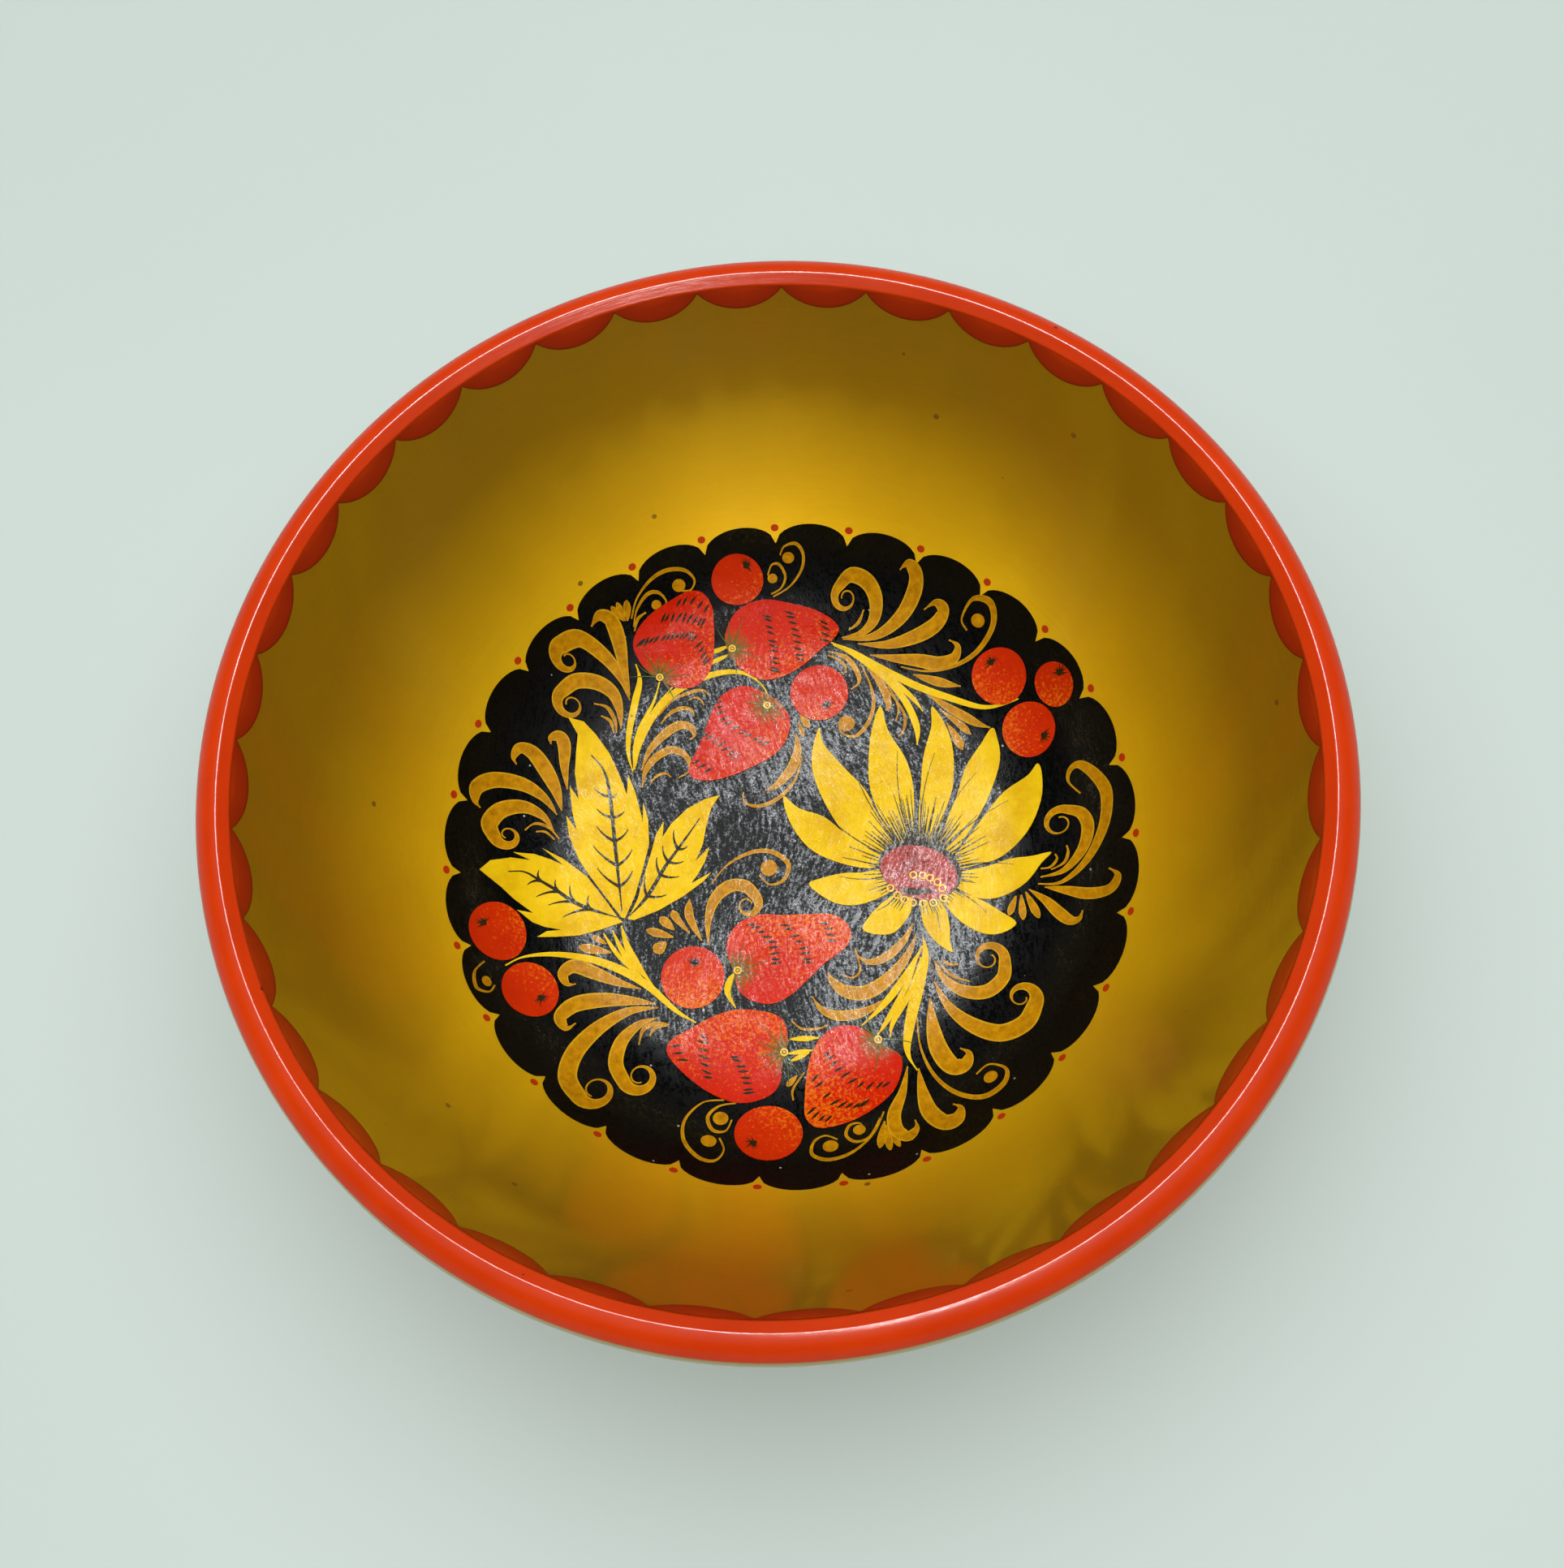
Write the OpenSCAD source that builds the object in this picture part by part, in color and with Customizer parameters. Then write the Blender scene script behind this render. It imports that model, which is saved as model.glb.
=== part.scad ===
// Painted wooden bowl: a turned linden blank under its gold, red and black coats,
// with a medallion of fruit, a leaf and a flower painted on the floor inside.
// The foot stands on z = 0 and the bowl turns about the Z axis.

/* [Bowl] */
// Height from the table to the sharp edge on top of the lip
height = 100; // [99:0.5:103]
// Radius of the sharp edge on top of the lip
lip_edge_r = 121.6; // [121.2:0.1:122]
// Radius of the quarter round on the outside of the lip
lip_round = 6; // [5.5:0.1:6.5]
// Outer radius of the foot ring
foot_r = 61; // [60:0.5:62]
// Depth of the recess inside the foot ring
foot_recess = 3; // [2:0.5:4]
// Width of the ring that the bowl stands on
foot_wall = 7; // [5:0.5:9]

/* [Inside wall] */
// Radius of the wall just below the bevel of the lip
wall_top_r = 119.4; // [119:0.1:119.8]
// Drop from the sharp edge of the lip to the bottom of its bevel
lip_bevel_drop = 1.9; // [1.6:0.1:2.2]
// Radius of the wall's long curve
wall_curve = 220; // [216:1:224]
// Radius of the round between wall and floor
corner_curve = 40; // [39:0.5:41]

/* [Paint] */
// Thickness of one coat
coat = 0.3; // [0.2:0.05:0.35]
// Number of red scallops below the lip
lip_scallops = 36; // [30:1:40]
// How far a red scallop hangs below its notches
lip_scallop_drop = 5.4; // [4.5:0.1:6]
// Number of black scallops round the medallion
medallion_scallops = 27; // [24:1:30]
// Radius through the notches of the medallion's edge
medallion_r = 87; // [85:0.5:88]
// How far a black scallop bulges past its notches
medallion_bulge = 3.4; // [2.5:0.1:4]
// Radius of a red dot outside the medallion
dot_r = 1.1; // [0.8:0.1:1.3]

/* [Hidden] */
$fn = 180;

gold = [0.80, 0.60, 0.10];
ochre = [0.78, 0.55, 0.10];
yellow = [0.98, 0.84, 0.12];
red = [0.84, 0.20, 0.05];
brick = [0.60, 0.12, 0.03];
black = [0.03, 0.03, 0.03];
green = [0.32, 0.40, 0.08];
linden = [0.80, 0.66, 0.46];

// Steepness of the section where one arc runs into the next, degrees from level
floor_slope = 4;
wall_low_slope = 55;
wall_top_slope = 75;
heel_low_slope = 15;
side_low_slope = 52.3;
under_lip_slope = 72;
side_curve = 222;
heel_curve = 48.2;
red_edge_angle = 33;     // how high round the lip its red paint ends, degrees above level
paint_foot_gap = 1;      // bare wood between the table and the foot's paint

medallion_centre = [1.2, -0.9];
medallion_turn = 4.4;    // angle of the medallion's first notch
lip_turn = 1;            // angle of the first notch below the lip
notch_gap = 0.6;         // from the top of the wall down to the notches of the red scallops
lobe_depth = 20;         // of the cutter that shapes a red scallop
dot_gap = 2.8;           // from a notch of the medallion out to the middle of its dot

reach = 1200;            // longer than any curve's radius, so that a wedge cuts the whole arc
wide = 200;              // wider and taller than the bowl

// ---- the turned section, made of arcs that run into each other ----

// The point on an arc's lower right where it has the given steepness, and the arc's centre from that point
function on_arc(c, r, slope) = [c[0] + r * sin(slope), c[1] - r * cos(slope)];
function centre_of(p, r, slope) = [p[0] - r * sin(slope), p[1] + r * cos(slope)];

lip_edge = [lip_edge_r, height];
wall_top = [wall_top_r, height - lip_bevel_drop];
wall_c = centre_of(wall_top, wall_curve, wall_top_slope);
wall_low = on_arc(wall_c, wall_curve, wall_low_slope);
corner_c = centre_of(wall_low, corner_curve, wall_low_slope);
floor_edge = on_arc(corner_c, corner_curve, floor_slope);
floor_curve = floor_edge[0] / sin(floor_slope);
floor_c = [0, floor_edge[1] + floor_curve * cos(floor_slope)];

lip_c = lip_edge - [0, lip_round];
under_lip = on_arc(lip_c, lip_round, under_lip_slope);
side_c = centre_of(under_lip, side_curve, under_lip_slope);
side_low = on_arc(side_c, side_curve, side_low_slope);
heel_c = centre_of(side_low, heel_curve, side_low_slope);
heel_low = on_arc(heel_c, heel_curve, heel_low_slope);
cove = heel_low[0] - foot_r;
cove_c = [heel_low[0], heel_low[1] - cove];

// A red scallop is a circle through its two notches
notch_z = wall_top[1] - notch_gap;
half_lobe = wall_top_r * tan(180 / lip_scallops);
lobe_r = (half_lobe * half_lobe + lip_scallop_drop * lip_scallop_drop) / (2 * lip_scallop_drop);

// A rectangle from its lower left corner to its upper right one
module box2(low, high) translate(low) square(high - low);

// A disc cut to a rectangle
module disc_in(c, r, low, high) intersection() {
    translate(c) circle(r);
    box2(low, high);
}

// The part of a disc's edge between two steepnesses, from t0 to t1 inside the disc's radius
module arc_band(c, r, t0, t1, slope0, slope1) intersection() {
    difference() {
        translate(c) circle(r - t0);
        translate(c) circle(r - t1);
    }
    polygon([c, on_arc(c, reach, slope0), on_arc(c, reach, slope1)]);
}

// The air inside the bowl. Its parts overlap, so that no skin is left between them.
module hollow_section() {
    disc_in(floor_c, floor_curve, [-1, 0], [floor_edge[0], wide]);
    translate(corner_c) circle(corner_curve);
    disc_in(wall_c, wall_curve, [-1, wall_low[1]], [wide, wall_top[1]]);
    polygon([[-1, corner_c[1]], wall_top, lip_edge, [lip_edge_r, wide], [-1, wide]]);
}

// What a disc leaves of a rectangle: the waste that the turner's gouge takes off outside
module waste(c, r, low, high) difference() {
    box2(low, high);
    translate(c) circle(r);
}

module turned_wood_body() color(linden) rotate_extrude(convexity = 8) difference() {
    box2([0, 0], [lip_edge_r + 2 * lip_round, height]);
    hollow_section();
    waste(lip_c, lip_round, [lip_edge_r, under_lip[1]], [wide, wide]);
    waste(side_c, side_curve, [side_low[0], -1], [wide, wide]);
    waste(heel_c, heel_curve, [heel_low[0], -1], [wide, side_low[1]]);
    translate(cove_c) circle(cove);
    box2([foot_r, -1], [wide, cove_c[1]]);
    box2([-1, -1], [foot_r - foot_wall, foot_recess]);
}

// ---- the coats ----

// A layer on the inside of the bowl, from t0 to t1 above the wood
module inside_layer(t0, t1) rotate_extrude(convexity = 6) intersection() {
    union() {
        arc_band(floor_c, floor_curve, t0, t1, -1, floor_slope);
        arc_band(corner_c, corner_curve, t0, t1, floor_slope, wall_low_slope);
        arc_band(wall_c, wall_curve, t0, t1, wall_low_slope, wall_top_slope);
    }
    box2([0, 0], [wide, wide]);
}

// A flat outline laid on the inside of the bowl as paint; level 1 lies on the gold coat
module painted(level) intersection() {
    linear_extrude(height) children();
    inside_layer(level * coat, (level + 1) * coat);
}

module inside_gold_coat() color(gold) inside_layer(0, coat);

module outside_gold_coat() color(gold) rotate_extrude(convexity = 6) {
    arc_band(lip_c, lip_round, -coat, 0, under_lip_slope, 90 + red_edge_angle);
    arc_band(side_c, side_curve, -coat, 0, side_low_slope, under_lip_slope);
    arc_band(heel_c, heel_curve, -coat, 0, heel_low_slope, side_low_slope);
}

module red_lip_band() color(red) {
    bevel = lip_edge - wall_top;
    up = coat * [-bevel[1], bevel[0]] / norm(bevel);
    rotate_extrude(convexity = 6) {
        arc_band(lip_c, lip_round, -coat, 0, 90 + red_edge_angle, 180);
        polygon([wall_top, lip_edge, lip_edge + [0, coat], lip_edge + up, wall_top + up]);
    }
}

module foot_band() color(brick) rotate_extrude(convexity = 6) {
    arc_band(cove_c, cove, 0, coat, 180, 270);
    box2([foot_r, paint_foot_gap], [foot_r + coat, cove_c[1]]);
}

// ---- outlines drawn in the plan of the bowl ----

function polar(r, a) = [r * cos(a), r * sin(a)];
function heading(a, b) = atan2(b[1] - a[1], b[0] - a[0]);
function at(list, i) = list[max(0, min(len(list) - 1, i))];

// A smooth line through hand-placed points, with n steps between each two
function blend(a, b, c, d, t) =
    0.5 * (2 * b + (c - a) * t + (2 * a - 5 * b + 4 * c - d) * t * t + (3 * b - a - 3 * c + d) * t * t * t);
function smooth(p, n) = [
    for (i = [0 : len(p) - 2], k = [0 : n - 1]) blend(at(p, i - 1), p[i], p[i + 1], at(p, i + 2), k / n),
    p[len(p) - 1]
];
function smooth_loop(p, n) = let (m = len(p)) [
    for (i = [0 : m - 1], k = [0 : n - 1])
        blend(p[(i + m - 1) % m], p[i], p[(i + 1) % m], p[(i + 2) % m], k / n)
];

// A line that keeps turning as its radius shrinks from r0 to r1: turn degrees in all, anticlockwise if positive
function curl(p, head, turn, r0, r1, steps, k = 1) = k > steps ? [] :
    let (
        r = r0 + (r1 - r0) * k / steps,
        bend = turn / steps,
        chord = 2 * r * sin(abs(bend) / 2),
        q = p + polar(chord, head + bend / 2)
    ) concat([q], curl(q, head + bend, turn, r0, r1, steps, k + 1));

// One brush stroke: [points, width, where along it is widest, [turn, r0, r1] of the curl that ends it]
hair = 0.45;             // width of a brush line that has run thin
tail = 1.3;              // how quickly a plain stroke thins out, and one that ends in a curl
curl_tail = 2.4;
function stroke_line(s) =
    let (body = smooth(s[0], 3), n = len(body))
    s[3] == undef ? body :
        concat(body, curl(body[n - 1], heading(body[n - 2], body[n - 1]), s[3][0], s[3][1], s[3][2], 12));
function swell(t, peak, tail) =
    t < peak ? sin(90 * t / peak) : pow(max(0, cos(90 * (t - peak) / (1 - peak))), tail);
function reverse(list) = [for (i = [len(list) - 1 : -1 : 0]) list[i]];
function stroke_side(s, line, side) = [
    for (i = [0 : len(line) - 1])
        let (
            head = heading(at(line, i - 1), at(line, i + 1)),
            w = max(hair, s[1] * swell(i / (len(line) - 1), s[2], s[3] == undef ? tail : curl_tail))
        ) line[i] + polar(w / 2, head + side)
];
module stroke(s) {
    line = stroke_line(s);
    polygon(concat(stroke_side(s, line, 90), reverse(stroke_side(s, line, -90))));
}
module strokes(list) for (s = list) stroke(s);

// A straight fine line from a to b that thins out towards b
module fine_line(a, b, w) {
    head = heading(a, b);
    polygon([a + polar(w / 2, head + 90), b + polar(w / 8, head + 90),
             b + polar(w / 8, head - 90), a + polar(w / 2, head - 90)]);
}

// A round spot as seen from above: the wall's slope squeezes it towards the middle of the bowl
function slope_at(r) =
    r < floor_edge[0] ? asin(r / floor_curve) :
    r < wall_low[0] ? asin((r - corner_c[0]) / corner_curve) : asin((r - wall_c[0]) / wall_curve);
function spot_outline(c, r, n) =
    let (squeeze = cos(slope_at(norm(c))), turn = atan2(c[1], c[0]))
    [for (i = [0 : n - 1])
        let (q = polar(r, i * 360 / n), x = q[0] * squeeze, y = q[1])
        c + [x * cos(turn) - y * sin(turn), x * sin(turn) + y * cos(turn)]];
module spot(c, r, n = 20) polygon(spot_outline(c, r, n));

// A ring of n scallops through notches at radius r
module scallops(n, r, bulge, turn) {
    steps = 8;
    polygon([
        for (i = [0 : n - 1], k = [0 : steps - 1])
            polar(r + bulge * sqrt(1 - pow(2 * k / steps - 1, 2)), turn + (i + k / steps) * 360 / n)
    ]);
}

// ---- fruit: the wild strawberries and the round berries ----

// [outline, calyx, the way its sepals fan]
STRAWBERRIES = [
    [[[-33.5, 61.5], [-34.5, 65.5], [-32.5, 69.5], [-28, 73.3], [-22, 76.2], [-17, 78], [-13, 77.5],
      [-10.8, 74], [-11, 69], [-11.8, 63], [-13.5, 57], [-17, 53], [-20.5, 52], [-25, 53], [-29, 56],
      [-32, 59]], [-28.3, 56.2], 55],
    [[[-8.5, 64.5], [-7, 68.5], [-4, 72], [1, 73.8], [6, 73.7], [12, 71.8], [18, 69.3], [22.5, 66],
      [24.3, 63], [22.5, 60.5], [18, 57.8], [12.5, 54], [6, 51.5], [0.5, 51.5], [-4, 54.5],
      [-7, 58.5]], [-6.7, 62], 0],
    [[[-4, 50.3], [-9, 49.8], [-13, 47], [-16, 42], [-18.3, 37], [-21, 32.5], [-23.3, 28.5],
      [-22.5, 25.3], [-18, 24], [-12, 24.5], [-5, 26.5], [1, 29], [5, 33], [6.7, 38], [5.5, 42.5],
      [2, 46.5]], [0.9, 43.7], 222],
    [[[-19.2, -25], [-18, -20.5], [-14.5, -17.3], [-9, -16], [-3, -17], [4, -17.8], [10, -18.7],
      [13.8, -21.7], [14.5, -25.5], [12, -28.8], [6.5, -31.8], [1.5, -35.5], [-3.5, -39], [-9, -40.8],
      [-14.5, -39], [-17.5, -35.5], [-18, -31]], [-16.9, -30.5], 10],
    [[[-6, -48], [-7.5, -44.5], [-12, -42.3], [-18.5, -41], [-25, -42], [-31.5, -44.5], [-36.5, -46.7],
      [-38, -49.5], [-36.5, -53], [-32.5, -58], [-27.5, -62.5], [-22, -65.5], [-17, -66], [-12, -64.5],
      [-9.5, -61.5], [-8.5, -57.5], [-6.5, -52.5]], [-7.5, -54], 180],
    [[[14, -51], [10, -49.3], [6, -49.5], [2, -52], [-1, -56.5], [-2.8, -62], [-4, -68], [-4.3, -72],
      [-2, -75], [2, -75.5], [8, -74.5], [14, -72], [19, -68.5], [22, -63.5], [22.4, -59.3],
      [19.5, -56.5]], [17.3, -54.2], 225]
];

// Rows of seeds: [points of the row, how many seeds]
SEED_ROWS = [
    [[[-32.5, 66], [-25, 67], [-17.5, 66.5], [-14.5, 59]], 18],
    [[[-25, 72], [-19, 71.8], [-14, 70]], 9],
    [[[-20, 75.5], [-16, 75.8], [-12.5, 73.5]], 5],
    [[[4.5, 69.5], [5, 61], [4.5, 53.5]], 11],
    [[[11, 69.5], [12, 63], [12, 56]], 9],
    [[[20.3, 65.3], [20.6, 62.8], [19.8, 60.4]], 4],
    [[[-13, 46.5], [-11.5, 41], [-6, 36], [-1, 32.5]], 11],
    [[[-17.5, 37.5], [-13.5, 34], [-10, 30]], 7],
    [[[-21, 30], [-19.5, 28.5], [-18, 27]], 3],
    [[[-11.5, -18.5], [-7, -24], [-6.5, -30]], 9],
    [[[-2.5, -20], [1, -26], [2, -31]], 8],
    [[[8, -21], [9, -23.5], [9, -26]], 4],
    [[[-20.5, -53.5], [-18.5, -58.5], [-18, -63.5]], 8],
    [[[-28, -47], [-28.5, -52.5], [-28, -58]], 7],
    [[[-35.5, -48.5], [-35, -50.5], [-34, -52.5]], 3],
    [[[3.5, -56], [6, -60.5], [11, -65.5], [17.5, -66.5]], 10],
    [[[-0.5, -62], [3, -68.5], [8, -70.8], [11.5, -70.5]], 9],
    [[[-2.5, -70.5], [-1, -72.5], [1.5, -73.3]], 4]
];
seed_length = 1.8;
seed_width = 0.6;
sepals = 7;
sepal_fan = 26;          // degrees between one sepal and the next
button_r = 1;

// [centre, radius, its dark eye]
BERRIES = [
    [[-2.5, 79.3], 7.4, [0.5, 82.3]], [[16, 45.2], 8.2, [17.5, 41.5]], [[65.8, 39.5], 8, [64.5, 43.8]],
    [[78.9, 32], 6.2, [80.5, 34]], [[71.2, 23.2], 7.7, [74.8, 20.5]], [[-78.2, -13.1], 8.3, [-81.5, -11]],
    [[-71.2, -29.6], 7.9, [-69, -32]], [[-29, -30.7], 8.5, [-28.2, -27]], [[-14.1, -74.9], 8.7, [-18, -77]]
];
eye_r = 1.5;
eye_points = 7;

module strawberry_outlines() for (s = STRAWBERRIES) polygon(smooth_loop(s[0], 2));
module berry_outlines() for (b = BERRIES) spot(b[0], b[1], 40);
module fruit_outlines() {
    strawberry_outlines();
    berry_outlines();
}

module strawberries() color(red) painted(2) strawberry_outlines();
module berries() color(red) painted(2) difference() {
    berry_outlines();
    strawberry_outlines();
}

module berry_eyes() color(black) painted(3) for (b = BERRIES) polygon([
    for (i = [0 : 2 * eye_points - 1]) b[2] + polar(i % 2 == 0 ? eye_r : eye_r / 2, i * 180 / eye_points)
]);

module strawberry_seeds() color(black) painted(3) for (row = SEED_ROWS) {
    line = smooth(row[0], 12);
    for (i = [0 : row[1] - 1])
        translate(line[round(i * (len(line) - 1) / (row[1] - 1))])
            rotate(row[0][0][0] * 7 % 50) square([seed_length, seed_width], center = true);
}

module strawberry_sepals() color(green) painted(3) for (s = STRAWBERRIES) intersection() {
    polygon(smooth_loop(s[0], 2));
    difference() {
        for (i = [0 : sepals - 1]) {
            way = s[2] + (i - (sepals - 1) / 2) * sepal_fan;
            fine_line(s[1], s[1] + polar(7 + i % 3 * 2, way), 1.2);
        }
        translate(s[1]) circle(button_r);
    }
}

module strawberry_buttons() color(yellow) painted(3) intersection() {
    for (s = STRAWBERRIES) translate(s[1]) circle(button_r);
    strawberry_outlines();
}

// ---- the leaf ----

LEAF_LOBES = [
    [[-46, -13], [-52, -14.3], [-58, -15.2], [-65, -15], [-69, -14.8], [-66.5, -13.3], [-62.5, -13.2],
     [-67, -12], [-70, -10.5], [-73.5, -7], [-69.5, -8], [-74, -4], [-77, -0.5], [-81.7, 4], [-79, 6.8],
     [-74, 7.8], [-69, 7], [-73.3, 9.3], [-68, 8.7], [-64, 7], [-60.5, 5], [-65.7, 10.2], [-60.5, 6.8],
     [-57, 3.5], [-54.5, 1], [-50.3, -6], [-47, -12]],
    [[-46.2, -11.8], [-49.5, -6.2], [-53.8, 1.2], [-56.2, 6], [-58.3, 13], [-58.5, 19], [-56, 14.5],
     [-56.8, 20], [-56.8, 27.5], [-54.7, 23.5], [-55, 31], [-54, 37], [-53, 42], [-55, 46.7],
     [-51, 45.5], [-48, 41.5], [-45, 36], [-43, 30], [-41.3, 23], [-40.3, 28.7], [-39, 24], [-38, 17],
     [-37.8, 14.5], [-37, 20.3], [-36.2, 15], [-36.7, 8], [-39, 1.5], [-42, -6], [-45.3, -12]],
    [[-44.6, -12.4], [-41.4, -7], [-38.3, 1], [-36.2, 6], [-34.5, 10.5], [-32, 14], [-32.8, 9.5],
     [-30, 13], [-25, 16.8], [-20, 18.8], [-15.7, 19.4], [-18.5, 16], [-20.5, 11], [-22, 6],
     [-24.5, 1.5], [-20.3, 5], [-22, 1], [-24.5, -2.5], [-26.5, -4.7], [-20.7, -2.3], [-23, -4.5],
     [-29, -8], [-36, -11], [-43, -12.9]]
];

LEAF_RIBS = [
    [[-46, -10], [-46, 10], [-46, 24], [-47, 31], [-50, 35.8]],
    [[-47.5, -11.5], [-54, -8.5], [-59, -5.5], [-63, -2], [-67, 1], [-71, 3.7], [-75, 3.8]],
    [[-44, -11.5], [-40, -8], [-37, -4.5], [-33, 1], [-29, 5.5], [-25, 10], [-22, 13.5]]
];

// Side veins in pairs: [where they leave the rib, one end, the other end]
LEAF_SIDE_VEINS = [
    [[-46, -3], [-51.5, 3], [-42, 1]], [[-46, 3], [-52, 9.5], [-41.5, 7]], [[-46, 10], [-50.5, 15], [-42, 13]],
    [[-46, 17], [-50, 20], [-42.5, 18.3]], [[-46, 23], [-50, 26], [-44, 23.8]],
    [[-54.5, -8.3], [-54.5, -4.5], [-62, -9.7]], [[-58.5, -5.7], [-59.3, -1], [-65.5, -6]],
    [[-62.5, -2.4], [-63, 1], [-68.5, -3.5]], [[-67, 1], [-67.2, 4], [-70.5, 0]],
    [[-38.8, -6.6], [-38.7, -1], [-33.5, -7]], [[-34.5, -1.2], [-35, 4], [-29.5, -2.3]],
    [[-32, 2.2], [-33, 7], [-27.8, 1.8]], [[-29, 5.6], [-29.5, 11], [-26.3, 6]]
];
rib_width = 0.9;
vein_width = 0.8;

module leaf_outlines() for (lobe = LEAF_LOBES) polygon(lobe);
module leaf_lobes() color(yellow) painted(2) leaf_outlines();
module leaf_veins() color(black) painted(3) intersection() {
    leaf_outlines();
    union() {
        for (rib = LEAF_RIBS) stroke([rib, rib_width, 0.3]);
        for (v = LEAF_SIDE_VEINS, end = [v[1], v[2]]) fine_line(v[0], end, vein_width);
    }
}

// ---- the flower ----

flower_c = [35.3, -10.8];
flower_size = [10.6, 7.4];   // half length and half width of its centre
flower_turn = -25;
ring_r = 0.9;

// A petal: its outline from the tip down one edge, then up the other
PETALS = [
    [[1.8, 16.5], [2.5, 9], [6.5, 1], [13, -4], [22, -7.5], [28, -6], [26, -4], [21, -0.5], [16.5, 4],
     [12, 9], [5.5, 12.5]],
    [[14.5, 35], [11.5, 28], [11, 21], [13.5, 11], [18, 2], [24.5, -2.6], [31, -5], [30.5, -1], [27, 7],
     [24.5, 15], [19.5, 22.5], [15, 30]],
    [[32.5, 38.5], [29, 32], [26.5, 22], [26, 14], [28, 5], [31.2, -1.5], [33.5, -6], [35.6, -1.5],
     [36.6, 5], [37.8, 14], [37, 22], [33.5, 31]],
    [[46.7, 36], [45.5, 30], [42, 22], [39.5, 12], [37.6, 4], [36.5, -2], [38, -6], [41, -4.5], [44.6, 4],
     [48.5, 12], [50.3, 22], [49.5, 30]],
    [[61.8, 26.5], [58, 22.5], [53, 17], [49.3, 9.5], [45.5, 3], [42, -4.6], [42, -9], [45.5, -7],
     [52, 0], [58, 8], [62.5, 17], [62.8, 24]],
    [[72, 13.5], [69, 11], [62, 8], [56, 2.7], [50.5, -2.8], [45.5, -7.8], [41, -12], [46, -11.5],
     [50, -11.3], [58, -10], [66, -4.5], [71, 3], [72.6, 10]],
    [[71, -11.7], [66, -11.5], [60, -11], [54, -12], [47, -12.4], [41, -13.5], [45, -17], [50, -20.5],
     [56, -21], [63, -18.5], [68, -14]],
    [[58.5, -29], [55, -25], [51, -21.4], [46, -18.3], [40, -15], [40.5, -20], [44, -26], [49, -30],
     [54, -31]],
    [[40.4, -34], [37, -31], [34.5, -26.5], [34, -20], [36, -15], [40, -19.5], [41, -26], [40.3, -31]],
    [[17.8, -24], [20.5, -20.5], [24.5, -17.5], [28, -15.8], [33, -14], [32, -19.5], [30.5, -22.5],
     [26, -26.3], [21, -26]],
    [[5.3, -9.3], [9, -8.3], [15, -7.8], [20, -8.4], [25.5, -8.4], [31, -11], [26, -15.3], [18, -17.2],
     [12, -16], [7.5, -12.5]]
];

FLOWER_RINGS = [
    [27, -14], [28.5, -16.2], [30.3, -17.8], [32.3, -19], [35, -19.6], [37.7, -19.8], [40.7, -19],
    [40.8, -16.2], [39.8, -14.3], [38, -12.8], [36.2, -11.8], [33.7, -11.3]
];
petal_lines = 5;         // short lines at the base of a petal
petal_fan = 7;           // degrees between them

module flower_heart() translate(flower_c) rotate(flower_turn) polygon([
    for (i = [0 : 39]) [flower_size[0] * cos(9 * i), flower_size[1] * sin(9 * i)]
]);
module petal_outlines() for (petal = PETALS) polygon(smooth_loop(petal, 2));
module flower_petals() color(yellow) painted(2) difference() {
    petal_outlines();
    flower_heart();
    fruit_outlines();
}
module flower_centre() color([0.82, 0.30, 0.22]) painted(2) flower_heart();
module flower_rings() color(yellow) painted(3) for (c = FLOWER_RINGS) translate(c) difference() {
    circle(ring_r);
    circle(ring_r / 2);
}

// Fine lines up each petal from its base: one long, the others short, clear of the centre and the rings
module flower_lines() color(black) painted(3) intersection() {
    petal_outlines();
    difference() {
        for (petal = PETALS) {
            way = heading(flower_c, petal[0]);
            far = norm(petal[0] - flower_c);
            fine_line(flower_c, flower_c + polar(far * 0.85, way), 0.7);
            for (i = [0 : petal_lines - 1]) {
                side = way + (i - (petal_lines - 1) / 2) * petal_fan;
                fine_line(flower_c, flower_c + polar(far * (0.45 + i % 2 * 0.1), side), 0.7);
            }
        }
        flower_heart();
        for (c = FLOWER_RINGS) translate(c) circle(ring_r);
    }
}

// ---- stems, scrolls and curls: brush strokes ----

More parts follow.
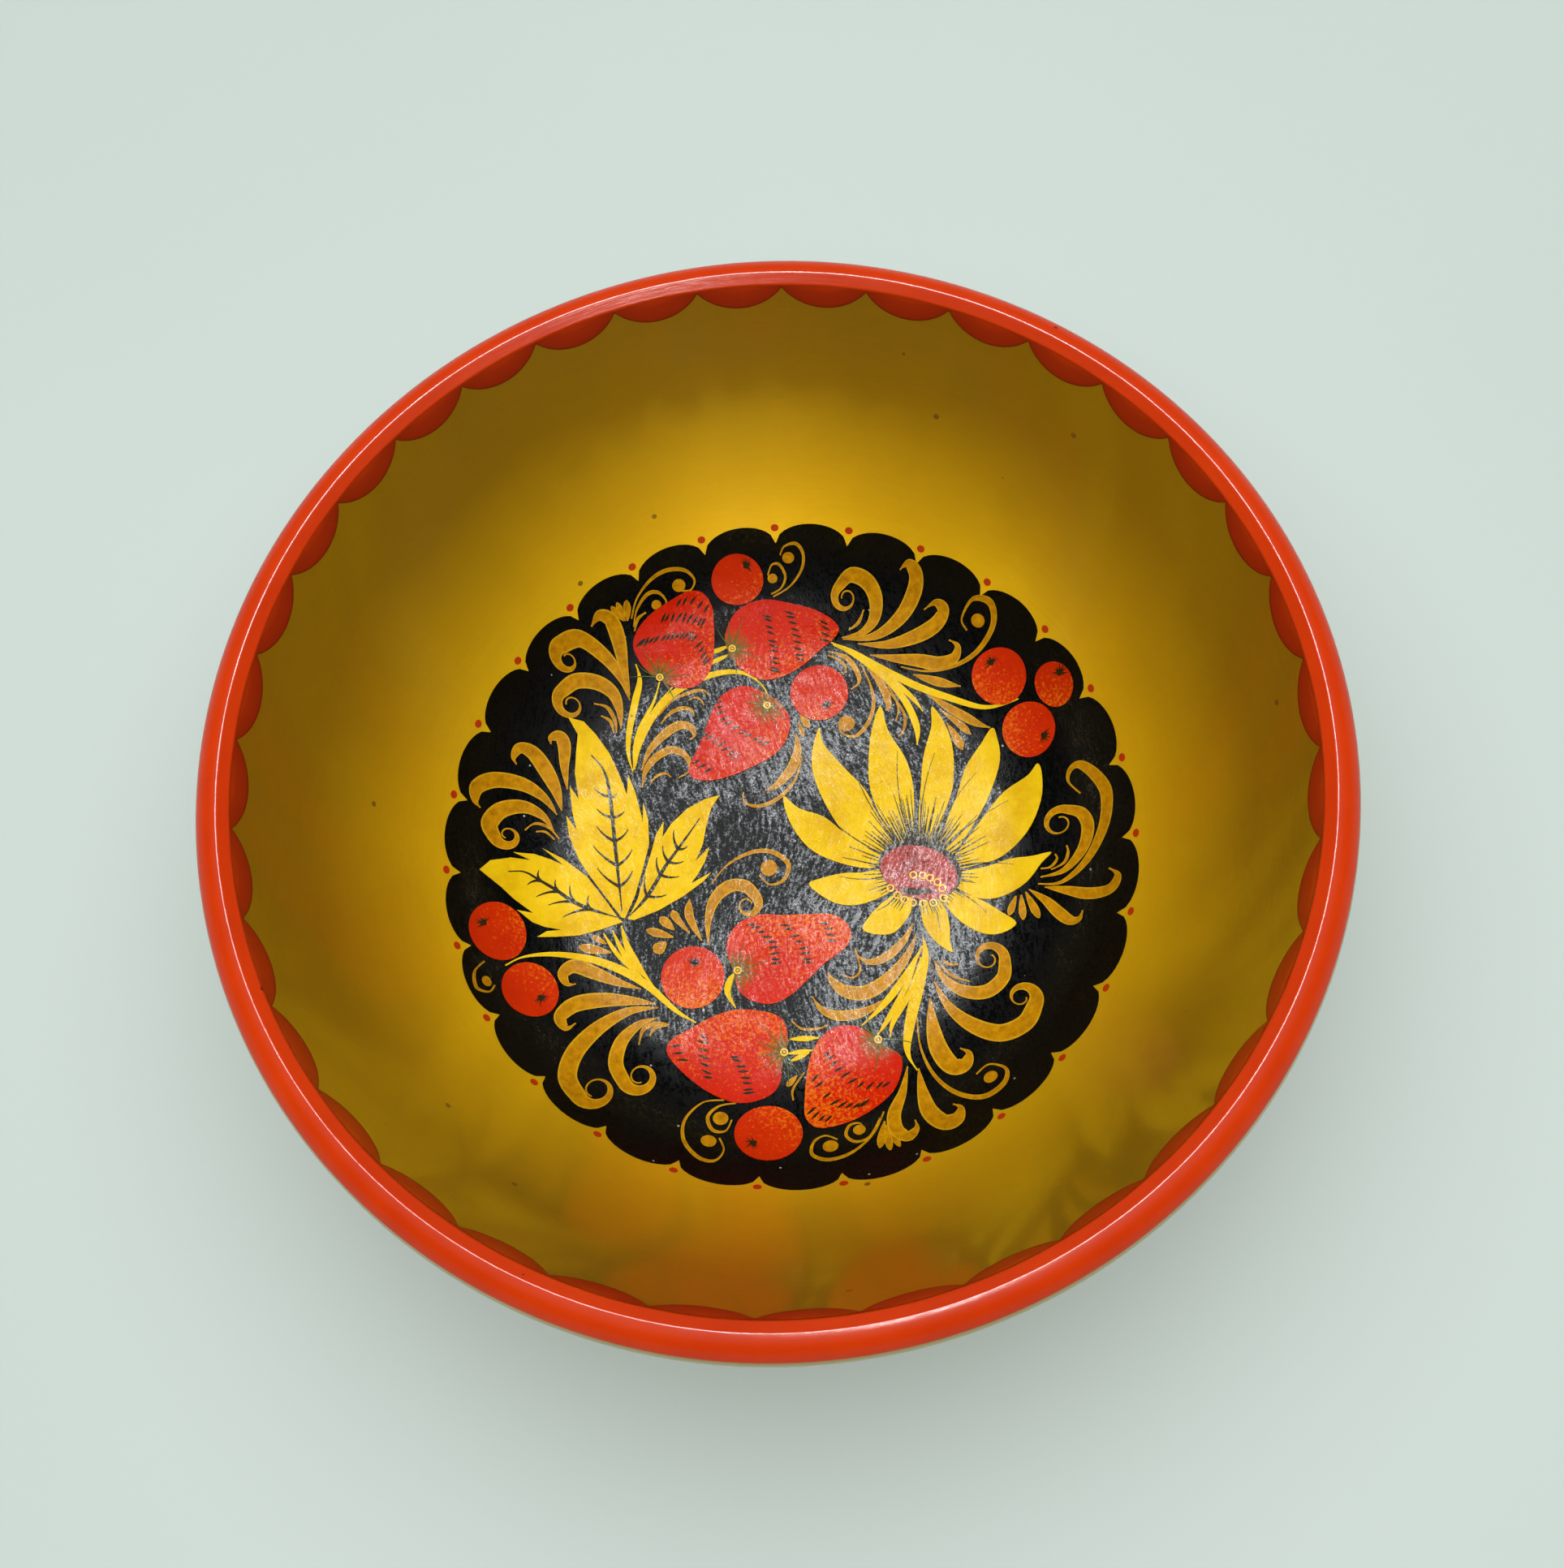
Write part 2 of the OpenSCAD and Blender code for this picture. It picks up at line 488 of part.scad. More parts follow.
STEMS = [
    [[[-38.9, 29.5], [-39.6, 35], [-38.5, 42], [-36, 50], [-34, 56], [-34.5, 60.5]], 2, 0.6],
    [[[-38.6, 30], [-37.8, 36], [-35.5, 42], [-31, 49], [-28.5, 55]], 1.2, 0.5],
    [[[-38.4, 30], [-37, 36], [-33.5, 43], [-29, 49], [-25, 53]], 1.4, 0.5],
    [[[-38, 31], [-36, 37], [-32, 44], [-27, 49.5], [-21, 53], [-14, 55], [-8, 55.2], [-3, 53.5],
      [0.5, 49.5], [1.5, 46]], 2, 0.4],
    [[[-15, 58], [-7.5, 60.5]], 1.3, 0.5],
    [[[-15, 61], [-7, 63]], 1.3, 0.5],
    [[[21.5, 59.5], [27, 56], [34, 50], [43, 43], [52, 37.5], [60, 33], [66, 32], [70, 32.2]], 2.1, 0.4],
    [[[22, 58.8], [28, 54], [35, 46.5], [39.5, 39], [41.5, 31], [40.8, 25.5]], 2, 0.75],
    [[[33, 50], [38, 44.5], [42, 39], [44, 35]], 1.5, 0.5],
    [[[33.4, -28.8], [33.2, -34], [30, -42], [27, -49], [24.7, -56], [24.5, -60], [26, -64]], 3, 0.4],
    [[[31.5, -33], [27, -41], [20.5, -49.5], [17.3, -53]], 1.6, 0.5],
    [[[32, -34], [27.5, -43], [22, -50], [20.5, -54]], 1.6, 0.5],
    [[[33, -31], [27.5, -38], [20.5, -45], [13.5, -50]], 2, 0.5],
    [[[-29.5, -43], [-34.5, -39], [-41, -31.5], [-48, -26], [-56, -22], [-65, -19.9], [-72.5, -20.3],
      [-77, -22.8]], 2.2, 0.4],
    [[[-46.5, -14], [-45.5, -20], [-43, -26], [-39.5, -32]], 2, 0.5],
    [[[-49, -15], [-47, -21], [-43.5, -28], [-40, -33]], 1.6, 0.5],
    [[[-51.5, -15.5], [-48.5, -21.5], [-44, -28]], 1.2, 0.5],
    [[[-18.7, -40.5], [-20.3, -36], [-19, -32.5], [-17, -30.7]], 1.8, 0.5],
    [[[-5.5, -50.8], [2, -51.5]], 1.5, 0.5],
    [[[-6.5, -54.5], [0, -54.5]], 1.3, 0.5],
    [[[-6, -56.5], [-1, -55]], 1.3, 0.5]
];

UPPER_LEFT = [
    [[[-37.5, 50.5], [-38.8, 56.5], [-42.5, 62.5], [-48.5, 66.8], [-54, 64.8]], 4.2, 0.28, [400, 3.4, 1]],
    [[[-40.9, 42.5], [-40.7, 48], [-42, 53], [-46, 56], [-51.5, 56.3], [-55.8, 53.5]], 4.2, 0.28, [430, 3.9, 1.2]],
    [[[-37.3, 52], [-38, 60], [-38.3, 67], [-39.5, 71.5], [-42.5, 72.3], [-45, 69.8]], 4.3, 0.5],
    [[[-36, 71.5], [-38.8, 74.6]], 1.8, 0.7], [[[-35.6, 71.5], [-37, 75.6]], 1.8, 0.7],
    [[[-35, 71.5], [-34.2, 76.2]], 2, 0.7],
    [[[-33.5, 70], [-32, 74], [-28.5, 77.5], [-25.3, 78], [-23.4, 76], [-24.6, 74.2]], 0.8, 0.5],
    [[[-33.8, 72], [-31.5, 76.5], [-27, 80.5], [-22, 82.6], [-17, 82.6], [-14.6, 80.5], [-16, 78.3],
      [-18.7, 78.2]], 0.8, 0.5],
    [[[-33.5, 69], [-32, 72], [-29.5, 73.5]], 0.7, 0.5],
    [[[-36.8, 24.5], [-35.5, 29], [-32.5, 32.5], [-28, 34.5], [-24.5, 33], [-22.9, 30], [-23.5, 27.5],
      [-26.5, 26]], 2.2, 0.35],
    [[[-36.5, 29.5], [-34, 34.5], [-30, 38.5], [-25, 41.3], [-21.5, 40.5], [-20.6, 38], [-22, 36.7]], 2.6, 0.45],
    [[[-29.5, 42.5], [-27, 45], [-23.5, 46.3], [-20.5, 45.5], [-20, 43.5]], 1.2, 0.5],
    [[[-30, 45], [-25.5, 49], [-21, 50.5], [-18, 51], [-16, 50.5], [-15, 49]], 1, 0.5],
    [[[-21, 48.5], [-19, 49], [-17.5, 48], [-16.8, 46.3]], 0.6, 0.5],
    [[[-34.5, 25.5], [-32.5, 27.3], [-30, 27.8], [-28.5, 26.5]], 0.8, 0.5],
    [[[-42.3, 41.5], [-42.3, 45], [-44, 49], [-47.5, 50.3]], 1.1, 0.5],
    [[[-43, 41.5], [-43.6, 45], [-46, 46.8]], 0.9, 0.5],
    [[[-57.5, 26.5], [-57.6, 33], [-57, 39], [-58, 41.6], [-60.3, 41], [-60.5, 39.4]], 3.6, 0.45],
    [[[-59.6, 20.5], [-60.6, 26.5], [-62.8, 32.5], [-65.5, 37], [-68.6, 38], [-70.5, 35.5], [-70, 33.6]], 4.3, 0.35],
    [[[-61, 19.5], [-64, 24.5], [-69, 28.2], [-75.5, 29], [-80, 26.5], [-81, 22.8], [-80, 21]], 4.2, 0.45],
    [[[-62.3, 15], [-64.8, 19.3], [-69.5, 22], [-75, 21], [-78.3, 17], [-77.5, 13.3]], 4.2, 0.28, [420, 3.3, 0.9]],
    [[[-61, 12.5], [-63.5, 16], [-67, 17.3], [-69.8, 15.5]], 0.8, 0.5],
    [[[-62.3, 12.5], [-64.5, 14.8], [-67, 15]], 0.6, 0.5]
];

UPPER_RIGHT = [
    [[[6.5, 75], [9.5, 76], [11.2, 78.5], [10, 81.3], [7.8, 81.6], [6.3, 79.5]], 0.7, 0.5],
    [[[7, 74.3], [12, 76], [16, 79.3], [17, 82.5], [15.3, 84.8], [12, 84.8], [10.5, 83.3]], 0.8, 0.5],
    [[[24.8, 60.3], [30.5, 60.6], [34.5, 63.5], [35.7, 68.5], [33.8, 73], [29.5, 75.4], [25.8, 73.5]], 3.9, 0.28,
     [430, 3.5, 1.1]],
    [[[25, 59.8], [34, 59], [41.5, 62], [46, 66.5], [47.3, 70.5], [45.5, 73.5], [43.2, 73]], 4.4, 0.5],
    [[[29, 57.8], [37, 56], [45, 56.3], [51, 57.8], [53.6, 60.5], [51.8, 63], [48.5, 62.3]], 4.2, 0.45],
    [[[32, 54], [38.5, 51.8], [45, 49.8], [50.5, 47.6], [54.8, 48], [56.2, 50.8], [54.2, 53]], 3.9, 0.45],
    [[[40, 49], [47, 46.3], [55, 46], [61.5, 48], [66, 52.5], [65.8, 57.5], [61.5, 60.2], [58.2, 57],
      [59.2, 53.8]], 1.5, 0.5],
    [[[43, 46.2], [48, 43.5], [52, 41.5], [55.5, 40]], 2.6, 0.45],
    [[[20, 56], [23, 54], [24.5, 51.5], [23.5, 49.5]], 0.8, 0.5],
    [[[20.5, 57], [25, 54.5], [27.5, 50], [27.5, 46.5], [25, 44.8]], 1.6, 0.4],
    [[[27, 62], [30, 63.5], [32, 66.5]], 0.9, 0.5],
    [[[29, 51.5], [30.5, 46], [30.8, 40], [28.5, 34.5], [24.5, 31], [21, 32], [20, 34.5]], 1.1, 0.5],
    [[[30.5, 50.5], [33, 46.5], [34.5, 42], [34.8, 38], [33.7, 37]], 2.2, 0.45],
    [[[35.5, 44], [37, 40], [37.3, 36.5], [36, 33.5]], 0.6, 0.5],
    [[[33.5, 46], [38, 37.5], [38.7, 33.5], [37.5, 30], [36, 28.8]], 0.8, 0.5],
    [[[44.5, 42], [50, 36], [55, 31.5], [58.5, 28.5], [61.5, 26.7]], 2.6, 0.5],
    [[[49, 34.5], [53, 30], [56, 26]], 2, 0.7], [[[50, 30.5], [51.8, 26], [53, 22]], 2.4, 0.7],
    [[[9.7, 39.5], [11.8, 35.5]], 2, 0.7], [[[9, 37.5], [9.8, 33]], 1.3, 0.7],
    [[[7.8, 34.5], [7.6, 29.5], [5, 24], [0, 19.8], [-3, 19]], 2.8, 0.45],
    [[[8.5, 27], [5.5, 20.5], [0, 16], [-5.5, 14.7], [-9.2, 16.5], [-9, 19.3]], 1.1, 0.45]
];

RIGHT = [
    [[[66, -19.5], [72, -20.6], [79, -16.5], [84.3, -9], [86.3, -1], [84.8, 5], [82, 9.3], [79.6, 9],
      [78.6, 6], [80.8, 1.7]], 2.6, 0.45],
    [[[67, -17.8], [73, -17.6], [78.3, -13.5], [80.8, -8], [80, -3.5], [76.8, -1.2]], 3, 0.28, [400, 4, 1.6]],
    [[[67.5, -15.5], [70, -15.7], [72, -14], [71.8, -12.5]], 0.7, 0.5],
    [[[70, -16.5], [73.5, -15.5], [75, -13], [75, -11]], 0.8, 0.5],
    [[[67.5, -20.8], [72.5, -23.2], [77.5, -26], [82, -26.7], [84.3, -23.8], [83, -21]], 3.2, 0.4],
    [[[63.5, -20.5], [67, -24.5], [69.6, -29], [71.7, -31.8], [73.8, -31.9], [75, -30]], 3.1, 0.4],
    [[[62.5, -21], [64.5, -29]], 2.2, 0.7], [[[61.2, -21.5], [60.4, -28.5]], 2, 0.7],
    [[[59.8, -21.5], [57, -26.5]], 1.9, 0.7]
];

LOWER_RIGHT = [
    [[[31.5, -24.5], [28, -29], [22.8, -32.6], [18, -33.2], [15, -30.5]], 2.4, 0.45],
    [[[31.8, -27.5], [28.5, -33], [22.5, -38.5], [16, -41.3], [10.5, -40], [7.5, -36.5], [7, -34.3]], 3.9, 0.5],
    [[[22, -43.5], [15, -46.3], [8.5, -46.5], [4, -44.3], [1.8, -40.3]], 2.8, 0.45],
    [[[15, -29], [15.5, -35], [13, -36.8], [10.5, -35.5]], 0.6, 0.5],
    [[[-4.5, -46], [-2, -48.5], [2, -49], [5, -48.5]], 0.7, 0.5],
    [[[35.3, -35.5], [37, -40.5], [41.5, -44.8], [47.5, -46], [52.3, -43], [53.6, -38.5]], 3.8, 0.28, [430, 4.3, 1.3]],
    [[[34.3, -41], [37, -48.3], [42, -54.3], [48.5, -58], [55, -56.6], [58.6, -52]], 4.8, 0.28, [400, 3.9, 1.2]],
    [[[32.6, -45.3], [32, -52], [32.4, -59], [34.8, -64.3], [38.2, -64.5], [39.7, -61.8], [37.8, -60]], 5, 0.4],
    [[[28.3, -50], [27.9, -58], [30, -66], [34.5, -71.8], [40.5, -74.2], [46, -71.8], [47.6, -68],
      [44, -65.8], [40.3, -67.8]], 1.3, 0.5],
    [[[26.4, -63.5], [26.3, -70], [27, -75.5], [29.8, -79], [33.2, -78.6], [34.6, -76], [33, -74.6]], 4.6, 0.4],
    [[[23.7, -62.5], [21.3, -69], [18.2, -74.5], [18, -78.8], [20.5, -81], [23, -79.3], [23, -77]], 3.7, 0.45],
    [[[36.5, -36], [39, -40], [43.5, -42.5]], 0.8, 0.5],
    [[[37.5, -35.5], [39, -37], [41.5, -37.5]], 0.8, 0.5]
];

LOWER_LEFT = [
    [[[-43, -32], [-49, -29.3], [-55, -26], [-60, -23.6], [-63, -25.5], [-62.2, -28.4], [-60, -28.6]], 3.9, 0.45],
    [[[-39.5, -36.5], [-46, -34.8], [-53.5, -33.7], [-60.5, -34.3], [-64.3, -37.5], [-63, -40.8], [-60.6, -39.5]],
     4.4, 0.45],
    [[[-39, -37.6], [-47, -37.6], [-55, -41.3], [-61, -47.5], [-62.8, -54.5], [-60, -60.3]], 4.6, 0.28, [400, 4.3, 2]],
    [[[-39.5, -40.3], [-44.5, -41.5], [-49.3, -45.5], [-51.2, -51.5], [-49.3, -57]], 3.8, 0.28, [450, 4.2, 1.6]],
    [[[-36.5, -42.5], [-40, -41.8], [-43.5, -43], [-45, -47]], 1.3, 0.5],
    [[[-37, -42.7], [-40.5, -43], [-42, -45]], 0.9, 0.5],
    [[[-50, -21], [-58.5, -18.3]], 2.6, 0.7], [[[-51, -18.5], [-54.5, -15.8]], 1.6, 0.7],
    [[[-81.5, -21.8], [-83.5, -25], [-83, -29.5], [-80.5, -30.5], [-79.3, -28.5]], 0.7, 0.5]
];

MIDDLE = [
    [[[-33, -19], [-40, -16]], 2.4, 0.7], [[[-32.5, -17], [-36, -13]], 2.6, 0.7],
    [[[-35, -20], [-38.5, -22.5]], 3.4, 0.7],
    [[[-28.5, -18.5], [-31.5, -14], [-32.5, -11.5]], 2.2, 0.7],
    [[[-25.5, -21], [-28, -14], [-27.5, -9]], 2.4, 0.6],
    [[[-23.8, -22.5], [-23.2, -16], [-20.8, -10.2], [-16.5, -7], [-12, -7.5], [-9.5, -10.8]], 3.6, 0.28,
     [-400, 3.3, 1.2]],
    [[[-21, -5.5], [-16, -0.8], [-9, 1.8], [-3.3, 1], [0.5, -3], [-1.3, -7.2], [-5.3, -8], [-7.8, -5]], 1.3, 0.5]
];

BY_THE_RIM = [
    [[[15.5, -76], [13, -83]], 2.1, 0.7], [[[15.5, -77], [15.5, -84]], 2, 0.7], [[[16, -77], [18, -83.5]], 1.8, 0.7],
    [[[15.7, -73.5], [12, -79], [6, -83], [0, -84], [-3.8, -82], [-3, -78.8], [0, -77.5], [3, -79]], 0.9, 0.5],
    [[[14.5, -75], [11, -79.5], [7.5, -80.3], [5.3, -78.3], [6.5, -75.8], [9, -75.5], [10, -77]], 0.8, 0.5],
    [[[-5, -60.5], [-8, -63]], 1.6, 0.7], [[[-3, -60], [-6.5, -64], [-6.8, -67]], 0.6, 0.5],
    [[[-21.5, -65.7], [-26, -66], [-29, -68.5], [-28, -72.2], [-24.8, -72.8], [-23, -70]], 0.9, 0.5],
    [[[-24.5, -64.5], [-30, -64.5], [-34.7, -68.5], [-35.3, -74], [-32, -79], [-28, -80.5], [-25.6, -78],
      [-26.5, -74.5]], 0.9, 0.5]
];

// Dots that end the thin curls: [centre, radius]
CURL_DOTS = [
    [[-26.3, 75.2], 1.4], [[-19.2, 79.4], 1.9], [[7.5, 78.6], 1.4], [[12.7, 82.4], 1.7], [[62.3, 55], 2],
    [[22.3, 35], 2.3], [[43.5, -69.3], 1.9], [[1, -80.5], 2], [[8.8, -77.3], 1.6], [[-25.8, -69.3], 2],
    [[-29.2, -75], 2], [[-81, -27.5], 1.5], [[-4.9, -3.3], 2.3]
];

module curl_dots() for (d = CURL_DOTS) spot(d[0], d[1]);

// Strokes laid round the fruit, the leaf and the flower, as a painter leaves them
module beside_motifs() difference() {
    children();
    fruit_outlines();
    leaf_outlines();
    petal_outlines();
    flower_heart();
}
module yellow_stems() color(yellow) painted(2) beside_motifs() strokes(STEMS);
module scrolls(list) color(ochre) painted(2) difference() {
    beside_motifs() strokes(list);
    strokes(STEMS);
    curl_dots();
}
module upper_left_scrolls() scrolls(UPPER_LEFT);
module upper_right_scrolls() scrolls(UPPER_RIGHT);
module right_scrolls() scrolls(RIGHT);
module lower_right_scrolls() scrolls(LOWER_RIGHT);
module lower_left_scrolls() scrolls(LOWER_LEFT);
module middle_scrolls() scrolls(MIDDLE);
module rim_curls() scrolls(BY_THE_RIM);
module scroll_dots() color(ochre) painted(2) beside_motifs() curl_dots();

// ---- the ground of the medallion and the red scallops below the lip ----

module medallion_outline() translate(medallion_centre)
    scallops(medallion_scallops, medallion_r, medallion_bulge, medallion_turn);
module medallion_ground() color(black) painted(1) medallion_outline();
module medallion_dots() color(red) painted(1) difference() {
    for (i = [0 : medallion_scallops - 1])
        spot(medallion_centre + polar(medallion_r + dot_gap, medallion_turn + i * 360 / medallion_scallops), dot_r);
    medallion_outline();
}
module red_scallop_band() color(brick) intersection() {
    inside_layer(coat, 2 * coat);
    union() {
        for (i = [0 : lip_scallops - 1])
            rotate(lip_turn + (i + 0.5) * 360 / lip_scallops)
                translate([wall_top_r - lobe_depth / 2, 0, notch_z - lip_scallop_drop + lobe_r])
                    rotate([0, 90, 0]) cylinder(r = lobe_r, h = lobe_depth);
        translate([0, 0, notch_z]) cylinder(r = wide, h = lobe_depth);
    }
}

turned_wood_body();
inside_gold_coat();
outside_gold_coat();
red_lip_band();
red_scallop_band();
foot_band();
medallion_ground();
medallion_dots();
leaf_lobes();
leaf_veins();
yellow_stems();
flower_petals();
flower_lines();
flower_centre();
flower_rings();
strawberries();
strawberry_seeds();
strawberry_sepals();
strawberry_buttons();
berries();
berry_eyes();
upper_left_scrolls();
upper_right_scrolls();
right_scrolls();
lower_right_scrolls();
lower_left_scrolls();
middle_scrolls();
rim_curls();
scroll_dots();
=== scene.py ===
"""The painted bowl's looks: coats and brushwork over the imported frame, in millimetres unless said."""

import math
import random

import bpy
from mathutils import Matrix, Vector
from mathutils.geometry import delaunay_2d_cdt


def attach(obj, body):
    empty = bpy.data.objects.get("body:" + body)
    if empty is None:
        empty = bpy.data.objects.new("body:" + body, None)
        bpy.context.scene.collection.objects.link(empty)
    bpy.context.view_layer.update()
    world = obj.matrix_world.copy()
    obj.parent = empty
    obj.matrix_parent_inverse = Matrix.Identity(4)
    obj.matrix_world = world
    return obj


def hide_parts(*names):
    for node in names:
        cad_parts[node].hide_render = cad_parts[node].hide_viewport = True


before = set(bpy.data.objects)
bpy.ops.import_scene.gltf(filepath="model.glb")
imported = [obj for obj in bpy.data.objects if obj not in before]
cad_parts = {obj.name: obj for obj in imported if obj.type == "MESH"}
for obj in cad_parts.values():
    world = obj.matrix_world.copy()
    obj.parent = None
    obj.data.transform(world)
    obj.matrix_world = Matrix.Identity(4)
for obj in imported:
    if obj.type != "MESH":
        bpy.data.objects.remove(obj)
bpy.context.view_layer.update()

MM = 0.001
VARNISH_DEPTH = 0.00022     # metres, of the relief in it
FAR_TABLE = 5.0             # metres from the bowl, where the table is past all light

SEGMENTS = 288              # round each turned surface
SCALLOP_STEPS = 16          # round each scallop of the medallion
ROW_GAP = 0.87              # between staggered rows of points, as a part of the step along them
CURL_STEPS = 36
HAIR = 0.4                  # the thinnest a scroll gets
PLAIN_TAIL, CURL_TAIL = 1.3, 3.2    # how soon a stroke thins: without a curl at its end, and with one

# How far each layer stands off the wood.
GOLD = 0.30
GROUND = 0.36
SCROLL = 0.42
STEM = 0.48
LEAF = 0.54
FRUIT = 0.60
DETAIL = 0.66
TOP = 0.72

# ---- the turned section: arcs that run into each other, as in the CAD ----

HEIGHT = 100.0
LIP_EDGE = (121.6, HEIGHT)
LIP_ROUND = 6.0
WALL_TOP = (119.4, 98.1)
WALL_CURVE, WALL_TOP_SLOPE = 220.0, 75.0
CORNER_CURVE, WALL_LOW_SLOPE = 40.0, 55.0
FLOOR_SLOPE = 4.0
UNDER_LIP_SLOPE = 72.0
SIDE_CURVE, SIDE_LOW_SLOPE = 222.0, 52.3
HEEL_CURVE, HEEL_LOW_SLOPE = 48.2, 15.0
RED_EDGE_ANGLE = 33.0
FOOT_R = 61.0
PAINT_FOOT_GAP = 1.0


def on_arc(centre, radius, slope):
    """The point of an arc where the surface is that steep, in degrees."""
    a = math.radians(slope)
    return (centre[0] + radius * math.sin(a), centre[1] - radius * math.cos(a))


def centre_of(point, radius, slope):
    """The centre of an arc that is that steep at a point."""
    a = math.radians(slope)
    return (point[0] - radius * math.sin(a), point[1] + radius * math.cos(a))


WALL_C = centre_of(WALL_TOP, WALL_CURVE, WALL_TOP_SLOPE)
WALL_LOW = on_arc(WALL_C, WALL_CURVE, WALL_LOW_SLOPE)
CORNER_C = centre_of(WALL_LOW, CORNER_CURVE, WALL_LOW_SLOPE)
FLOOR_EDGE = on_arc(CORNER_C, CORNER_CURVE, FLOOR_SLOPE)
FLOOR_CURVE = FLOOR_EDGE[0] / math.sin(math.radians(FLOOR_SLOPE))
FLOOR_C = (0.0, FLOOR_EDGE[1] + FLOOR_CURVE * math.cos(math.radians(FLOOR_SLOPE)))
LIP_C = (LIP_EDGE[0], LIP_EDGE[1] - LIP_ROUND)
UNDER_LIP = on_arc(LIP_C, LIP_ROUND, UNDER_LIP_SLOPE)
SIDE_C = centre_of(UNDER_LIP, SIDE_CURVE, UNDER_LIP_SLOPE)
SIDE_LOW = on_arc(SIDE_C, SIDE_CURVE, SIDE_LOW_SLOPE)
HEEL_C = centre_of(SIDE_LOW, HEEL_CURVE, SIDE_LOW_SLOPE)
HEEL_LOW = on_arc(HEEL_C, HEEL_CURVE, HEEL_LOW_SLOPE)
COVE = HEEL_LOW[0] - FOOT_R
COVE_C = (HEEL_LOW[0], HEEL_LOW[1] - COVE)


def inside_arc(r):
    """(centre, radius) of the arc that the inside follows at that distance from the axis."""
    if r < FLOOR_EDGE[0]:
        return FLOOR_C, FLOOR_CURVE
    if r < WALL_LOW[0]:
        return CORNER_C, CORNER_CURVE
    return WALL_C, WALL_CURVE


def steepness(r):
    centre, radius = inside_arc(r)
    return math.asin(min(1.0, (r - centre[0]) / radius))


def lay(x, y, lift):
    """(point, normal) in metres on the inside of the bowl over plan point x, y, that far off the wood."""
    r = math.hypot(x, y)
    centre, radius = inside_arc(r)
    s = steepness(r)
    z = centre[1] - radius * math.cos(s)
    out = (x / r, y / r) if r > 1e-6 else (0.0, 0.0)
    normal = Vector((-math.sin(s) * out[0], -math.sin(s) * out[1], math.cos(s)))
    return (Vector((x, y, z)) + lift * normal) * MM, normal


# ---- lines in the plan of the bowl ----


def polar(r, degrees):
    a = math.radians(degrees)
    return (r * math.cos(a), r * math.sin(a))


def add(a, b):
    return (a[0] + b[0], a[1] + b[1])


def rotated(x, y, turn):
    return (x * math.cos(turn) - y * math.sin(turn), x * math.sin(turn) + y * math.cos(turn))


def heading(a, b):
    return math.degrees(math.atan2(b[1] - a[1], b[0] - a[0]))


def gap(a, b):
    return math.hypot(b[0] - a[0], b[1] - a[1])


def blend(a, b, c, d, t):
    """A point of the smooth curve that passes b at t 0 and c at t 1."""
    return tuple(
        0.5 * (2 * b[k] + (c[k] - a[k]) * t + (2 * a[k] - 5 * b[k] + 4 * c[k] - d[k]) * t * t
               + (3 * b[k] - a[k] - 3 * c[k] + d[k]) * t**3)
        for k in (0, 1)
    )


def smooth(points, n, closed=False):
    """A smooth curve through points, with n steps from each to the next."""
    m = len(points)
    last = m if closed else m - 1

    def at(i):
        return points[i % m] if closed else points[max(0, min(m - 1, i))]

    curve = [blend(at(i - 1), at(i), at(i + 1), at(i + 2), k / n) for i in range(last) for k in range(n)]
    return curve if closed else curve + [tuple(points[-1])]


def stepped(loop, step):
    """The same closed line with points at most that far apart."""
    line = []
    for a, b in zip(loop, loop[1:] + loop[:1]):
        n = max(1, math.ceil(gap(a, b) / step))
        line += [(a[0] + (b[0] - a[0]) * k / n, a[1] + (b[1] - a[1]) * k / n) for k in range(n)]
    return line


def curl(p, head, turn, r0, r1):
    """A line that keeps turning, anticlockwise if turn is positive, as its radius shrinks from r0 to r1."""
    bend = turn / CURL_STEPS
    line = []
    for k in range(1, CURL_STEPS + 1):
        r = r0 + (r1 - r0) * k / CURL_STEPS
        chord = 2 * r * math.sin(math.radians(abs(bend) / 2))
        p = add(p, polar(chord, head + bend / 2))
        head += bend
        line.append(p)
    return line


def swell(t, peak, tail):
    """A brush stroke's width at t along it, as a fraction of its widest."""
    if t < peak:
        return math.sin(math.pi / 2 * t / peak)
    return max(0.0, math.cos(math.pi / 2 * (t - peak) / (1 - peak))) ** tail


def inside_loop(p, loop):
    """Whether the closed line goes round p."""
    hit = False
    for a, b in zip(loop, loop[1:] + loop[:1]):
        if (a[1] > p[1]) != (b[1] > p[1]) and p[0] < (b[0] - a[0]) * (p[1] - a[1]) / (b[1] - a[1]) + a[0]:
            hit = not hit
    return hit


def spot_outline(c, r, n):
    """A round spot as it looks from above: the wall's slope squeezes it towards the middle of the bowl."""
    squeeze = math.cos(steepness(math.hypot(*c)))
    turn = math.atan2(c[1], c[0])
    outline = []
    for i in range(n):
        x, y = polar(r, i * 360 / n)
        x *= squeeze
        outline.append(add(c, rotated(x, y, turn)))
    return outline


def scallops(n, r, bulge, turn, centre):
    """A ring of n scallops through notches at radius r."""
    ring = []
    for i in range(n * SCALLOP_STEPS):
        k = i % SCALLOP_STEPS / SCALLOP_STEPS
        swollen = r + bulge * math.sqrt(1 - (2 * k - 1) ** 2)
        ring.append(add(centre, polar(swollen, turn + i * 360 / (n * SCALLOP_STEPS))))
    return ring


# ---- meshes ----


